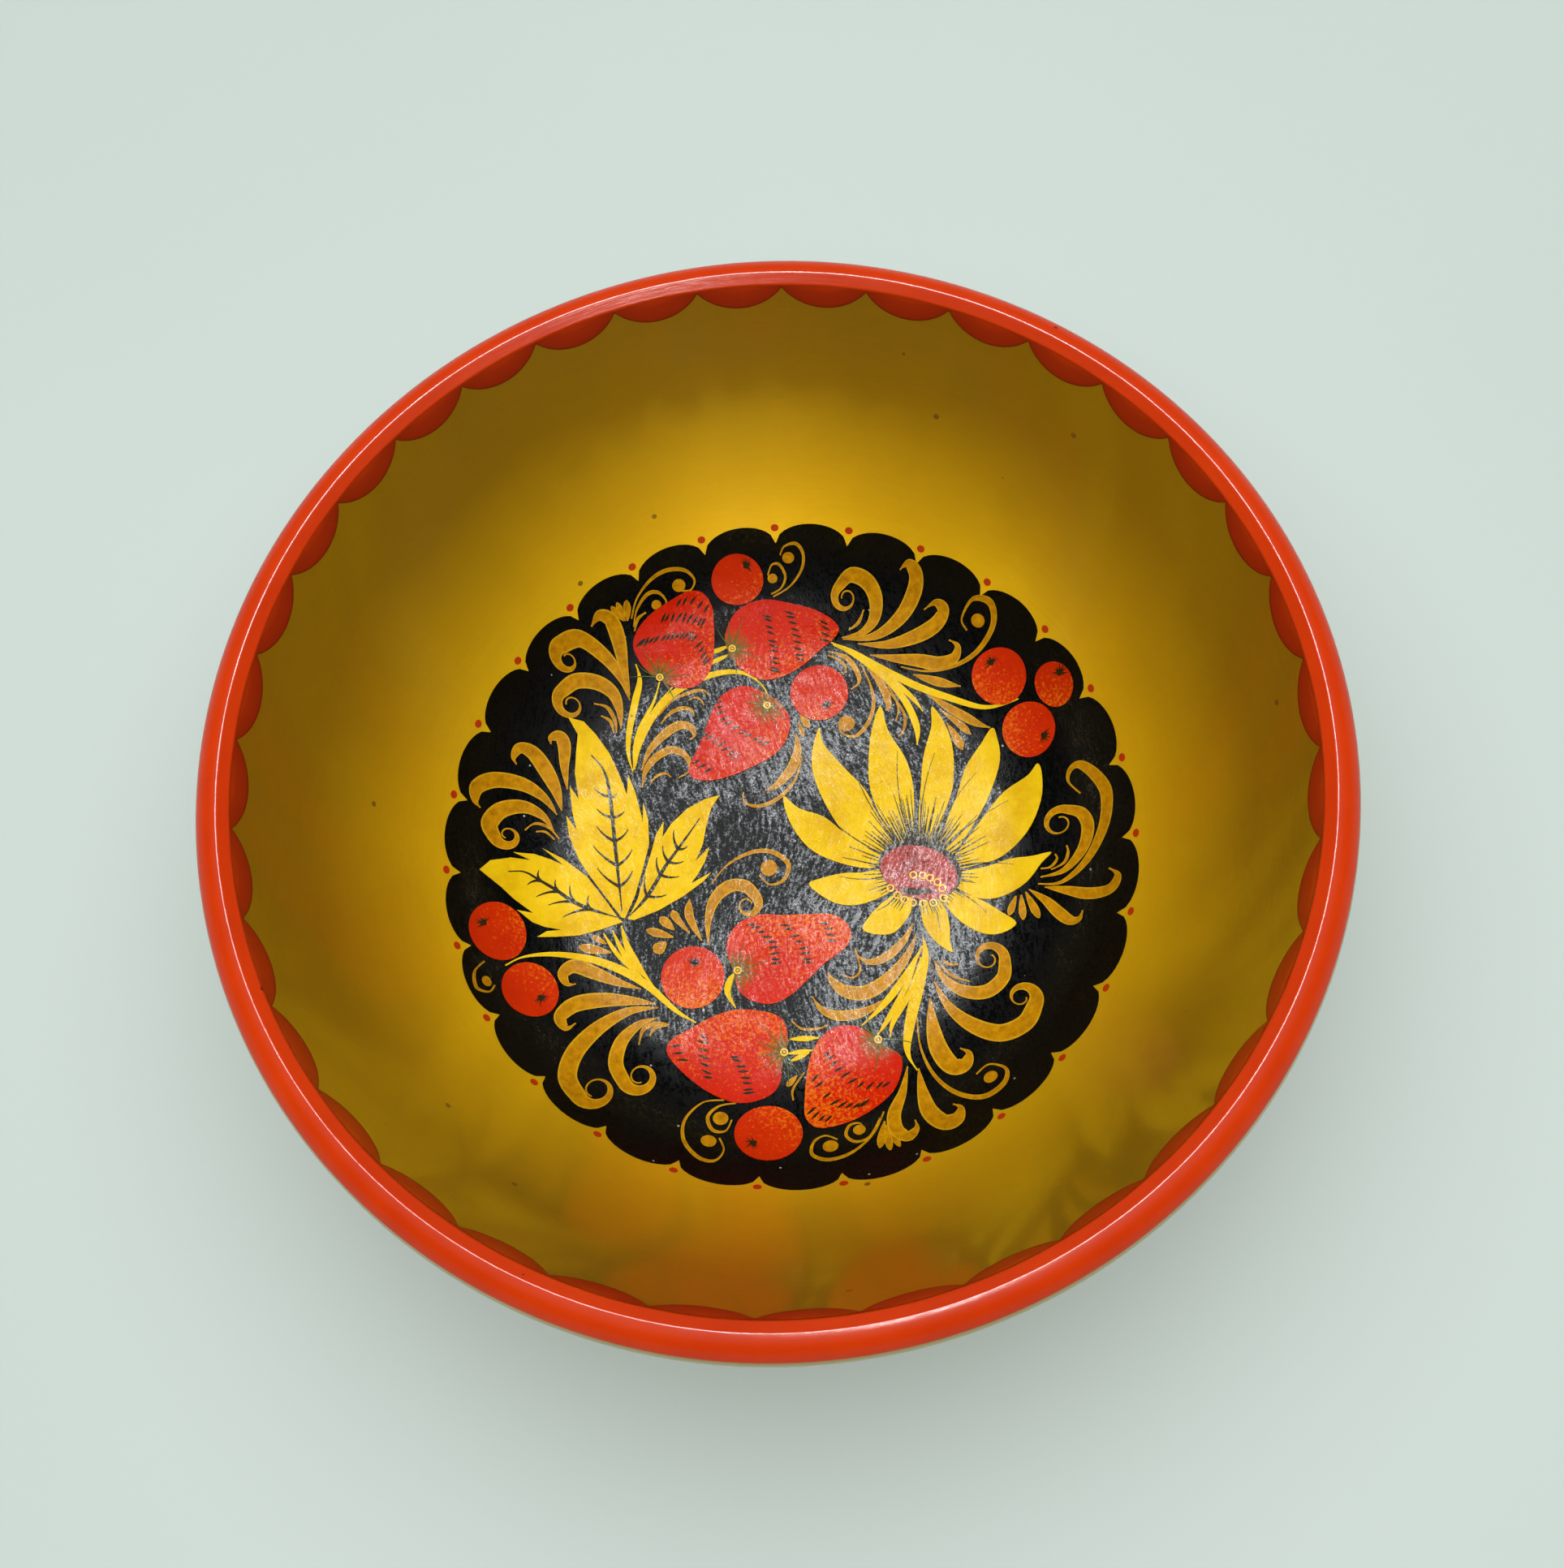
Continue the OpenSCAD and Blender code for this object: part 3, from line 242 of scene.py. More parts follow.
def filling(ring, step):
    """Points in staggered rows inside a closed line, that far apart and clear of it."""
    low_x, high_x = min(p[0] for p in ring), max(p[0] for p in ring)
    low_y, high_y = min(p[1] for p in ring), max(p[1] for p in ring)
    fill = []
    y, odd = low_y + step / 2, 0
    while y < high_y:
        x = low_x + step / 2 * (1 + odd)
        while x < high_x:
            if inside_loop((x, y), ring) and min(gap((x, y), q) for q in ring) > 0.5 * step:
                fill.append((x, y))
            x += step
        y += step * ROW_GAP
        odd = 1 - odd
    return fill


def shown(name, points, faces, normals, **fields):
    """A smooth object with those normals, and with numbers for its material at each of its points."""
    mesh = bpy.data.meshes.new(name)
    mesh.from_pydata(points, [], faces)
    for key, values in fields.items():
        mesh.attributes.new(key, "FLOAT", "POINT").data.foreach_set("value", values)
    mesh.polygons.foreach_set("use_smooth", [True] * len(faces))
    mesh.normals_split_custom_set_from_vertices(normals)
    obj = bpy.data.objects.new(name, mesh)
    bpy.context.scene.collection.objects.link(obj)
    return obj


class Paint:
    """Gathers brushwork laid on the inside of the bowl into one mesh.
    along and across say where in its stroke a point lies, and tone is what its material makes of it."""

    def __init__(self):
        self.points, self.normals, self.faces = [], [], []
        self.along, self.across, self.tone = [], [], []

    def add_point(self, xy, lift, along=0.0, across=0.0, tone=0.0):
        point, normal = lay(xy[0], xy[1], lift)
        self.points.append(point)
        self.normals.append(normal)
        self.along.append(along)
        self.across.append(across)
        self.tone.append(tone)
        return len(self.points) - 1

    def ribbon(self, line, width_at, lift, under=GROUND, lanes=4):
        """A band along a line, with sides that reach down to the layer under it."""
        n = len(line)
        rows = []
        for i, p in enumerate(line):
            head = heading(line[max(0, i - 1)], line[min(n - 1, i + 1)])
            t = i / (n - 1)
            half = width_at(t) / 2
            row = []
            for k in range(-1, lanes + 2):
                side = max(-1.0, min(1.0, 2 * k / lanes - 1))
                level = lift if 0 <= k <= lanes else under
                row.append(self.add_point(add(p, polar(half * side, head + 90)), level, t, side))
            rows.append(row)
        for a, b in zip(rows, rows[1:]):
            self.faces += [(a[k + 1], a[k], b[k], b[k + 1]) for k in range(len(a) - 1)]

    def patch(self, outline, lift, step=1.8, under=GROUND, tone=0.0, along=0.0):
        """A flat shape, with sides that reach down to the layer under it.
        tone and along may be functions of the point."""
        def value(v, p):
            return v(p) if callable(v) else v

        ring = stepped(outline, step)
        n = len(ring)
        edges = [(i, (i + 1) % n) for i in range(n)]
        points = [Vector(p) for p in ring + filling(ring, step)]
        verts, _, tris, *_ = delaunay_2d_cdt(points, edges, [], 1, 1e-6)
        index = [self.add_point(p, lift, value(along, p), 0.0, value(tone, p)) for p in verts]
        sides = {}
        for tri in tris:
            self.faces.append(tuple(index[i] for i in tri))
            for a, b in zip(tri, tri[1:] + tri[:1]):
                if (b, a) in sides:
                    del sides[(b, a)]
                else:
                    sides[(a, b)] = True
        low = {}
        for a, b in sides:
            for i in (a, b):
                if i not in low:
                    p = verts[i]
                    low[i] = self.add_point(p, under, value(along, p), 0.0, value(tone, p))
            self.faces.append((index[b], index[a], low[a], low[b]))

    def stroke(self, s, lift):
        """One brush stroke of the tables: [points, width, where it is widest, the curl that ends it]."""
        line = smooth(s[0], 6)
        tail = PLAIN_TAIL
        if len(s) > 3:
            tail = CURL_TAIL
            line += curl(line[-1], heading(line[-2], line[-1]), *s[3])
        self.ribbon(line, lambda t: max(HAIR, s[1] * swell(t, s[2], tail)), lift)

    def fine_line(self, a, b, width, lift, under=GROUND, bow=0.0):
        """A thin line from a to b that runs out towards b. bow bends it to its left."""
        n = 8
        left = polar(bow, heading(a, b) + 90)
        line = []
        for i in range(n + 1):
            t = i / n
            sway = 4 * t * (1 - t)
            on_line = (a[0] + (b[0] - a[0]) * t, a[1] + (b[1] - a[1]) * t)
            line.append(add(on_line, (left[0] * sway, left[1] * sway)))
        self.ribbon(line, lambda t: width * (1 - 0.8 * t), lift, under, lanes=2)

    def build(self, name):
        return shown(name, self.points, self.faces, self.normals,
                     along=self.along, across=self.across, tone=self.tone)


def turned(name, profile, inward=False, **fields):
    """A surface turned round the axis. profile lists (r, z, normal r, normal z) in millimetres, upwards;
    inward turns its faces to the axis. fields are numbers that its material reads all over it."""
    points, normals, faces = [], [], []
    rows = len(profile)
    for i in range(SEGMENTS):
        a = 2 * math.pi * i / SEGMENTS
        c, s = math.cos(a), math.sin(a)
        for r, z, nr, nz in profile:
            points.append((r * c * MM, r * s * MM, z * MM))
            normals.append((nr * c, nr * s, nz))
    for i in range(SEGMENTS):
        j = (i + 1) % SEGMENTS
        for k in range(rows - 1):
            quad = (i * rows + k, j * rows + k, j * rows + k + 1, i * rows + k + 1)
            faces.append(quad[::-1] if inward else quad)
    spread = {key: [value] * len(points) for key, value in fields.items()}
    return shown(name, points, faces, normals, **spread)


def arc_profile(centre, radius, slope0, slope1, lift, step):
    """(r, z, normal r, normal z) along an arc from one steepness to another, that far outside its radius."""
    n = max(2, math.ceil(abs(slope1 - slope0) / step))
    rows = []
    for i in range(n + 1):
        slope = slope0 + (slope1 - slope0) * i / n
        r, z = on_arc(centre, radius + lift, slope)
        a = math.radians(slope)
        rows.append((r, z, math.sin(a), -math.cos(a)))
    return rows


def flipped(rows):
    return [(r, z, -nr, -nz) for r, z, nr, nz in rows]


# ---- the drawing, in the plan of the bowl: the same tables as in the CAD ----

STRAWBERRIES = [
    [[(-33.5, 61.5), (-34.5, 65.5), (-32.5, 69.5), (-28, 73.3), (-22, 76.2), (-17, 78), (-13, 77.5),
     (-10.8, 74), (-11, 69), (-11.8, 63), (-13.5, 57), (-17, 53), (-20.5, 52), (-25, 53), (-29, 56),
     (-32, 59)], (-28.3, 56.2), 55],
    [[(-8.5, 64.5), (-7, 68.5), (-4, 72), (1, 73.8), (6, 73.7), (12, 71.8), (18, 69.3), (22.5, 66),
     (24.3, 63), (22.5, 60.5), (18, 57.8), (12.5, 54), (6, 51.5), (0.5, 51.5), (-4, 54.5), (-7, 58.5)],
     (-6.7, 62), 0],
    [[(-4, 50.3), (-9, 49.8), (-13, 47), (-16, 42), (-18.3, 37), (-21, 32.5), (-23.3, 28.5), (-22.5, 25.3),
     (-18, 24), (-12, 24.5), (-5, 26.5), (1, 29), (5, 33), (6.7, 38), (5.5, 42.5), (2, 46.5)], (0.9, 43.7),
     222],
    [[(-19.2, -25), (-18, -20.5), (-14.5, -17.3), (-9, -16), (-3, -17), (4, -17.8), (10, -18.7),
     (13.8, -21.7), (14.5, -25.5), (12, -28.8), (6.5, -31.8), (1.5, -35.5), (-3.5, -39), (-9, -40.8),
     (-14.5, -39), (-17.5, -35.5), (-18, -31)], (-16.9, -30.5), 10],
    [[(-6, -48), (-7.5, -44.5), (-12, -42.3), (-18.5, -41), (-25, -42), (-31.5, -44.5), (-36.5, -46.7),
     (-38, -49.5), (-36.5, -53), (-32.5, -58), (-27.5, -62.5), (-22, -65.5), (-17, -66), (-12, -64.5),
     (-9.5, -61.5), (-8.5, -57.5), (-6.5, -52.5)], (-7.5, -54), 180],
    [[(14, -51), (10, -49.3), (6, -49.5), (2, -52), (-1, -56.5), (-2.8, -62), (-4, -68), (-4.3, -72),
     (-2, -75), (2, -75.5), (8, -74.5), (14, -72), (19, -68.5), (22, -63.5), (22.4, -59.3), (19.5, -56.5)],
     (17.3, -54.2), 225],
]

SEED_ROWS = [
    [[(-32.5, 66), (-25, 67), (-17.5, 66.5), (-14.5, 59)], 18], [[(-25, 72), (-19, 71.8), (-14, 70)], 9],
    [[(-20, 75.5), (-16, 75.8), (-12.5, 73.5)], 5], [[(4.5, 69.5), (5, 61), (4.5, 53.5)], 11],
    [[(11, 69.5), (12, 63), (12, 56)], 9], [[(20.3, 65.3), (20.6, 62.8), (19.8, 60.4)], 4],
    [[(-13, 46.5), (-11.5, 41), (-6, 36), (-1, 32.5)], 11], [[(-17.5, 37.5), (-13.5, 34), (-10, 30)], 7],
    [[(-21, 30), (-19.5, 28.5), (-18, 27)], 3], [[(-11.5, -18.5), (-7, -24), (-6.5, -30)], 9],
    [[(-2.5, -20), (1, -26), (2, -31)], 8], [[(8, -21), (9, -23.5), (9, -26)], 4],
    [[(-20.5, -53.5), (-18.5, -58.5), (-18, -63.5)], 8], [[(-28, -47), (-28.5, -52.5), (-28, -58)], 7],
    [[(-35.5, -48.5), (-35, -50.5), (-34, -52.5)], 3],
    [[(3.5, -56), (6, -60.5), (11, -65.5), (17.5, -66.5)], 10],
    [[(-0.5, -62), (3, -68.5), (8, -70.8), (11.5, -70.5)], 9],
    [[(-2.5, -70.5), (-1, -72.5), (1.5, -73.3)], 4],
]

BERRIES = [
    [(-2.5, 79.3), 7.4, (0.5, 82.3)], [(16, 45.2), 8.2, (17.5, 41.5)], [(65.8, 39.5), 8, (64.5, 43.8)],
    [(78.9, 32), 6.2, (80.5, 34)], [(71.2, 23.2), 7.7, (74.8, 20.5)], [(-78.2, -13.1), 8.3, (-81.5, -11)],
    [(-71.2, -29.6), 7.9, (-69, -32)], [(-29, -30.7), 8.5, (-28.2, -27)], [(-14.1, -74.9), 8.7, (-18, -77)],
]

LEAF_LOBES = [
    [(-46, -13), (-52, -14.3), (-58, -15.2), (-65, -15), (-69, -14.8), (-66.5, -13.3), (-62.5, -13.2),
     (-67, -12), (-70, -10.5), (-73.5, -7), (-69.5, -8), (-74, -4), (-77, -0.5), (-81.7, 4), (-79, 6.8),
     (-74, 7.8), (-69, 7), (-73.3, 9.3), (-68, 8.7), (-64, 7), (-60.5, 5), (-65.7, 10.2), (-60.5, 6.8),
     (-57, 3.5), (-54.5, 1), (-50.3, -6), (-47, -12)],
    [(-46.2, -11.8), (-49.5, -6.2), (-53.8, 1.2), (-56.2, 6), (-58.3, 13), (-58.5, 19), (-56, 14.5),
     (-56.8, 20), (-56.8, 27.5), (-54.7, 23.5), (-55, 31), (-54, 37), (-53, 42), (-55, 46.7), (-51, 45.5),
     (-48, 41.5), (-45, 36), (-43, 30), (-41.3, 23), (-40.3, 28.7), (-39, 24), (-38, 17), (-37.8, 14.5),
     (-37, 20.3), (-36.2, 15), (-36.7, 8), (-39, 1.5), (-42, -6), (-45.3, -12)],
    [(-44.6, -12.4), (-41.4, -7), (-38.3, 1), (-36.2, 6), (-34.5, 10.5), (-32, 14), (-32.8, 9.5), (-30, 13),
     (-25, 16.8), (-20, 18.8), (-15.7, 19.4), (-18.5, 16), (-20.5, 11), (-22, 6), (-24.5, 1.5), (-20.3, 5),
     (-22, 1), (-24.5, -2.5), (-26.5, -4.7), (-20.7, -2.3), (-23, -4.5), (-29, -8), (-36, -11),
     (-43, -12.9)],
]

LEAF_RIBS = [
    [(-46, -10), (-46, 10), (-46, 24), (-47, 31), (-50, 35.8)],
    [(-47.5, -11.5), (-54, -8.5), (-59, -5.5), (-63, -2), (-67, 1), (-71, 3.7), (-75, 3.8)],
    [(-44, -11.5), (-40, -8), (-37, -4.5), (-33, 1), (-29, 5.5), (-25, 10), (-22, 13.5)],
]

LEAF_SIDE_VEINS = [
    [(-46, -3), (-51.5, 3), (-42, 1)], [(-46, 3), (-52, 9.5), (-41.5, 7)],
    [(-46, 10), (-50.5, 15), (-42, 13)], [(-46, 17), (-50, 20), (-42.5, 18.3)],
    [(-46, 23), (-50, 26), (-44, 23.8)], [(-54.5, -8.3), (-54.5, -4.5), (-62, -9.7)],
    [(-58.5, -5.7), (-59.3, -1), (-65.5, -6)], [(-62.5, -2.4), (-63, 1), (-68.5, -3.5)],
    [(-67, 1), (-67.2, 4), (-70.5, 0)], [(-38.8, -6.6), (-38.7, -1), (-33.5, -7)],
    [(-34.5, -1.2), (-35, 4), (-29.5, -2.3)], [(-32, 2.2), (-33, 7), (-27.8, 1.8)],
    [(-29, 5.6), (-29.5, 11), (-26.3, 6)],
]

PETALS = [
    [(1.8, 16.5), (2.5, 9), (6.5, 1), (13, -4), (22, -7.5), (28, -6), (26, -4), (21, -0.5), (16.5, 4),
     (12, 9), (5.5, 12.5)],
    [(14.5, 35), (11.5, 28), (11, 21), (13.5, 11), (18, 2), (24.5, -2.6), (31, -5), (30.5, -1), (27, 7),
     (24.5, 15), (19.5, 22.5), (15, 30)],
    [(32.5, 38.5), (29, 32), (26.5, 22), (26, 14), (28, 5), (31.2, -1.5), (33.5, -6), (35.6, -1.5),
     (36.6, 5), (37.8, 14), (37, 22), (33.5, 31)],
    [(46.7, 36), (45.5, 30), (42, 22), (39.5, 12), (37.6, 4), (36.5, -2), (38, -6), (41, -4.5), (44.6, 4),
     (48.5, 12), (50.3, 22), (49.5, 30)],
    [(61.8, 26.5), (58, 22.5), (53, 17), (49.3, 9.5), (45.5, 3), (42, -4.6), (42, -9), (45.5, -7), (52, 0),
     (58, 8), (62.5, 17), (62.8, 24)],
    [(72, 13.5), (69, 11), (62, 8), (56, 2.7), (50.5, -2.8), (45.5, -7.8), (41, -12), (46, -11.5),
     (50, -11.3), (58, -10), (66, -4.5), (71, 3), (72.6, 10)],
    [(71, -11.7), (66, -11.5), (60, -11), (54, -12), (47, -12.4), (41, -13.5), (45, -17), (50, -20.5),
     (56, -21), (63, -18.5), (68, -14)],
    [(58.5, -29), (55, -25), (51, -21.4), (46, -18.3), (40, -15), (40.5, -20), (44, -26), (49, -30),
     (54, -31)],
    [(40.4, -34), (37, -31), (34.5, -26.5), (34, -20), (36, -15), (40, -19.5), (41, -26), (40.3, -31)],
    [(17.8, -24), (20.5, -20.5), (24.5, -17.5), (28, -15.8), (33, -14), (32, -19.5), (30.5, -22.5),
     (26, -26.3), (21, -26)],
    [(5.3, -9.3), (9, -8.3), (15, -7.8), (20, -8.4), (25.5, -8.4), (31, -11), (26, -15.3), (18, -17.2),
     (12, -16), (7.5, -12.5)],
]

FLOWER_RINGS = [
    (27, -14), (28.5, -16.2), (30.3, -17.8), (32.3, -19), (35, -19.6), (37.7, -19.8), (40.7, -19),
    (40.8, -16.2), (39.8, -14.3), (38, -12.8), (36.2, -11.8), (33.7, -11.3),
]

STEMS = [
    [[(-38.9, 29.5), (-39.6, 35), (-38.5, 42), (-36, 50), (-34, 56), (-34.5, 60.5)], 2, 0.6],
    [[(-38.6, 30), (-37.8, 36), (-35.5, 42), (-31, 49), (-28.5, 55)], 1.2, 0.5],
    [[(-38.4, 30), (-37, 36), (-33.5, 43), (-29, 49), (-25, 53)], 1.4, 0.5],
    [[(-38, 31), (-36, 37), (-32, 44), (-27, 49.5), (-21, 53), (-14, 55), (-8, 55.2), (-3, 53.5),
     (0.5, 49.5), (1.5, 46)], 2, 0.4],
    [[(-15, 58), (-7.5, 60.5)], 1.3, 0.5], [[(-15, 61), (-7, 63)], 1.3, 0.5],
    [[(21.5, 59.5), (27, 56), (34, 50), (43, 43), (52, 37.5), (60, 33), (66, 32), (70, 32.2)], 2.1, 0.4],
    [[(22, 58.8), (28, 54), (35, 46.5), (39.5, 39), (41.5, 31), (40.8, 25.5)], 2, 0.75],
    [[(33, 50), (38, 44.5), (42, 39), (44, 35)], 1.5, 0.5],
    [[(33.4, -28.8), (33.2, -34), (30, -42), (27, -49), (24.7, -56), (24.5, -60), (26, -64)], 3, 0.4],
    [[(31.5, -33), (27, -41), (20.5, -49.5), (17.3, -53)], 1.6, 0.5],
    [[(32, -34), (27.5, -43), (22, -50), (20.5, -54)], 1.6, 0.5],
    [[(33, -31), (27.5, -38), (20.5, -45), (13.5, -50)], 2, 0.5],
    [[(-29.5, -43), (-34.5, -39), (-41, -31.5), (-48, -26), (-56, -22), (-65, -19.9), (-72.5, -20.3),
     (-77, -22.8)], 2.2, 0.4],
    [[(-46.5, -14), (-45.5, -20), (-43, -26), (-39.5, -32)], 2, 0.5],
    [[(-49, -15), (-47, -21), (-43.5, -28), (-40, -33)], 1.6, 0.5],
    [[(-51.5, -15.5), (-48.5, -21.5), (-44, -28)], 1.2, 0.5],
    [[(-18.7, -40.5), (-20.3, -36), (-19, -32.5), (-17, -30.7)], 1.8, 0.5],
    [[(-5.5, -50.8), (2, -51.5)], 1.5, 0.5], [[(-6.5, -54.5), (0, -54.5)], 1.3, 0.5],
    [[(-6, -56.5), (-1, -55)], 1.3, 0.5],
]

UPPER_LEFT = [
    [[(-37.5, 50.5), (-38.8, 56.5), (-42.5, 62.5), (-48.5, 66.8), (-54, 64.8)], 4.2, 0.28, [400, 3.4, 1]],
    [[(-40.9, 42.5), (-40.7, 48), (-42, 53), (-46, 56), (-51.5, 56.3), (-55.8, 53.5)],
     4.2, 0.28, [430, 3.9, 1.2]],
    [[(-37.3, 52), (-38, 60), (-38.3, 67), (-39.5, 71.5), (-42.5, 72.3), (-45, 69.8)], 4.3, 0.5],
    [[(-36, 71.5), (-38.8, 74.6)], 1.8, 0.7], [[(-35.6, 71.5), (-37, 75.6)], 1.8, 0.7],
    [[(-35, 71.5), (-34.2, 76.2)], 2, 0.7],
    [[(-33.5, 70), (-32, 74), (-28.5, 77.5), (-25.3, 78), (-23.4, 76), (-24.6, 74.2)], 0.8, 0.5],
    [[(-33.8, 72), (-31.5, 76.5), (-27, 80.5), (-22, 82.6), (-17, 82.6), (-14.6, 80.5), (-16, 78.3),
     (-18.7, 78.2)], 0.8, 0.5],
    [[(-33.5, 69), (-32, 72), (-29.5, 73.5)], 0.7, 0.5],
    [[(-36.8, 24.5), (-35.5, 29), (-32.5, 32.5), (-28, 34.5), (-24.5, 33), (-22.9, 30), (-23.5, 27.5),
     (-26.5, 26)], 2.2, 0.35],
    [[(-36.5, 29.5), (-34, 34.5), (-30, 38.5), (-25, 41.3), (-21.5, 40.5), (-20.6, 38), (-22, 36.7)],
     2.6, 0.45],
    [[(-29.5, 42.5), (-27, 45), (-23.5, 46.3), (-20.5, 45.5), (-20, 43.5)], 1.2, 0.5],
    [[(-30, 45), (-25.5, 49), (-21, 50.5), (-18, 51), (-16, 50.5), (-15, 49)], 1, 0.5],
    [[(-21, 48.5), (-19, 49), (-17.5, 48), (-16.8, 46.3)], 0.6, 0.5],
    [[(-34.5, 25.5), (-32.5, 27.3), (-30, 27.8), (-28.5, 26.5)], 0.8, 0.5],
    [[(-42.3, 41.5), (-42.3, 45), (-44, 49), (-47.5, 50.3)], 1.1, 0.5],
    [[(-43, 41.5), (-43.6, 45), (-46, 46.8)], 0.9, 0.5],
    [[(-57.5, 26.5), (-57.6, 33), (-57, 39), (-58, 41.6), (-60.3, 41), (-60.5, 39.4)], 3.6, 0.45],
    [[(-59.6, 20.5), (-60.6, 26.5), (-62.8, 32.5), (-65.5, 37), (-68.6, 38), (-70.5, 35.5), (-70, 33.6)],
     4.3, 0.35],
    [[(-61, 19.5), (-64, 24.5), (-69, 28.2), (-75.5, 29), (-80, 26.5), (-81, 22.8), (-80, 21)], 4.2, 0.45],
    [[(-62.3, 15), (-64.8, 19.3), (-69.5, 22), (-75, 21), (-78.3, 17), (-77.5, 13.3)],
     4.2, 0.28, [420, 3.3, 0.9]],
    [[(-61, 12.5), (-63.5, 16), (-67, 17.3), (-69.8, 15.5)], 0.8, 0.5],
    [[(-62.3, 12.5), (-64.5, 14.8), (-67, 15)], 0.6, 0.5],
]

UPPER_RIGHT = [
    [[(6.5, 75), (9.5, 76), (11.2, 78.5), (10, 81.3), (7.8, 81.6), (6.3, 79.5)], 0.7, 0.5],
    [[(7, 74.3), (12, 76), (16, 79.3), (17, 82.5), (15.3, 84.8), (12, 84.8), (10.5, 83.3)], 0.8, 0.5],
    [[(24.8, 60.3), (30.5, 60.6), (34.5, 63.5), (35.7, 68.5), (33.8, 73), (29.5, 75.4), (25.8, 73.5)],
     3.9, 0.28, [430, 3.5, 1.1]],
    [[(25, 59.8), (34, 59), (41.5, 62), (46, 66.5), (47.3, 70.5), (45.5, 73.5), (43.2, 73)], 4.4, 0.5],
    [[(29, 57.8), (37, 56), (45, 56.3), (51, 57.8), (53.6, 60.5), (51.8, 63), (48.5, 62.3)], 4.2, 0.45],
    [[(32, 54), (38.5, 51.8), (45, 49.8), (50.5, 47.6), (54.8, 48), (56.2, 50.8), (54.2, 53)], 3.9, 0.45],
    [[(40, 49), (47, 46.3), (55, 46), (61.5, 48), (66, 52.5), (65.8, 57.5), (61.5, 60.2), (58.2, 57),
     (59.2, 53.8)], 1.5, 0.5],
    [[(43, 46.2), (48, 43.5), (52, 41.5), (55.5, 40)], 2.6, 0.45],
    [[(20, 56), (23, 54), (24.5, 51.5), (23.5, 49.5)], 0.8, 0.5],
    [[(20.5, 57), (25, 54.5), (27.5, 50), (27.5, 46.5), (25, 44.8)], 1.6, 0.4],
    [[(27, 62), (30, 63.5), (32, 66.5)], 0.9, 0.5],
    [[(29, 51.5), (30.5, 46), (30.8, 40), (28.5, 34.5), (24.5, 31), (21, 32), (20, 34.5)], 1.1, 0.5],
    [[(30.5, 50.5), (33, 46.5), (34.5, 42), (34.8, 38), (33.7, 37)], 2.2, 0.45],
    [[(35.5, 44), (37, 40), (37.3, 36.5), (36, 33.5)], 0.6, 0.5],
    [[(33.5, 46), (38, 37.5), (38.7, 33.5), (37.5, 30), (36, 28.8)], 0.8, 0.5],
    [[(44.5, 42), (50, 36), (55, 31.5), (58.5, 28.5), (61.5, 26.7)], 2.6, 0.5],
    [[(49, 34.5), (53, 30), (56, 26)], 2, 0.7], [[(50, 30.5), (51.8, 26), (53, 22)], 2.4, 0.7],
    [[(9.7, 39.5), (11.8, 35.5)], 2, 0.7], [[(9, 37.5), (9.8, 33)], 1.3, 0.7],
    [[(7.8, 34.5), (7.6, 29.5), (5, 24), (0, 19.8), (-3, 19)], 2.8, 0.45],
    [[(8.5, 27), (5.5, 20.5), (0, 16), (-5.5, 14.7), (-9.2, 16.5), (-9, 19.3)], 1.1, 0.45],
]

RIGHT = [
    [[(66, -19.5), (72, -20.6), (79, -16.5), (84.3, -9), (86.3, -1), (84.8, 5), (82, 9.3), (79.6, 9),
     (78.6, 6), (80.8, 1.7)], 2.6, 0.45],
    [[(67, -17.8), (73, -17.6), (78.3, -13.5), (80.8, -8), (80, -3.5), (76.8, -1.2)],
     3, 0.28, [400, 4, 1.6]],
    [[(67.5, -15.5), (70, -15.7), (72, -14), (71.8, -12.5)], 0.7, 0.5],
    [[(70, -16.5), (73.5, -15.5), (75, -13), (75, -11)], 0.8, 0.5],
    [[(67.5, -20.8), (72.5, -23.2), (77.5, -26), (82, -26.7), (84.3, -23.8), (83, -21)], 3.2, 0.4],
    [[(63.5, -20.5), (67, -24.5), (69.6, -29), (71.7, -31.8), (73.8, -31.9), (75, -30)], 3.1, 0.4],
    [[(62.5, -21), (64.5, -29)], 2.2, 0.7], [[(61.2, -21.5), (60.4, -28.5)], 2, 0.7],
    [[(59.8, -21.5), (57, -26.5)], 1.9, 0.7],
]

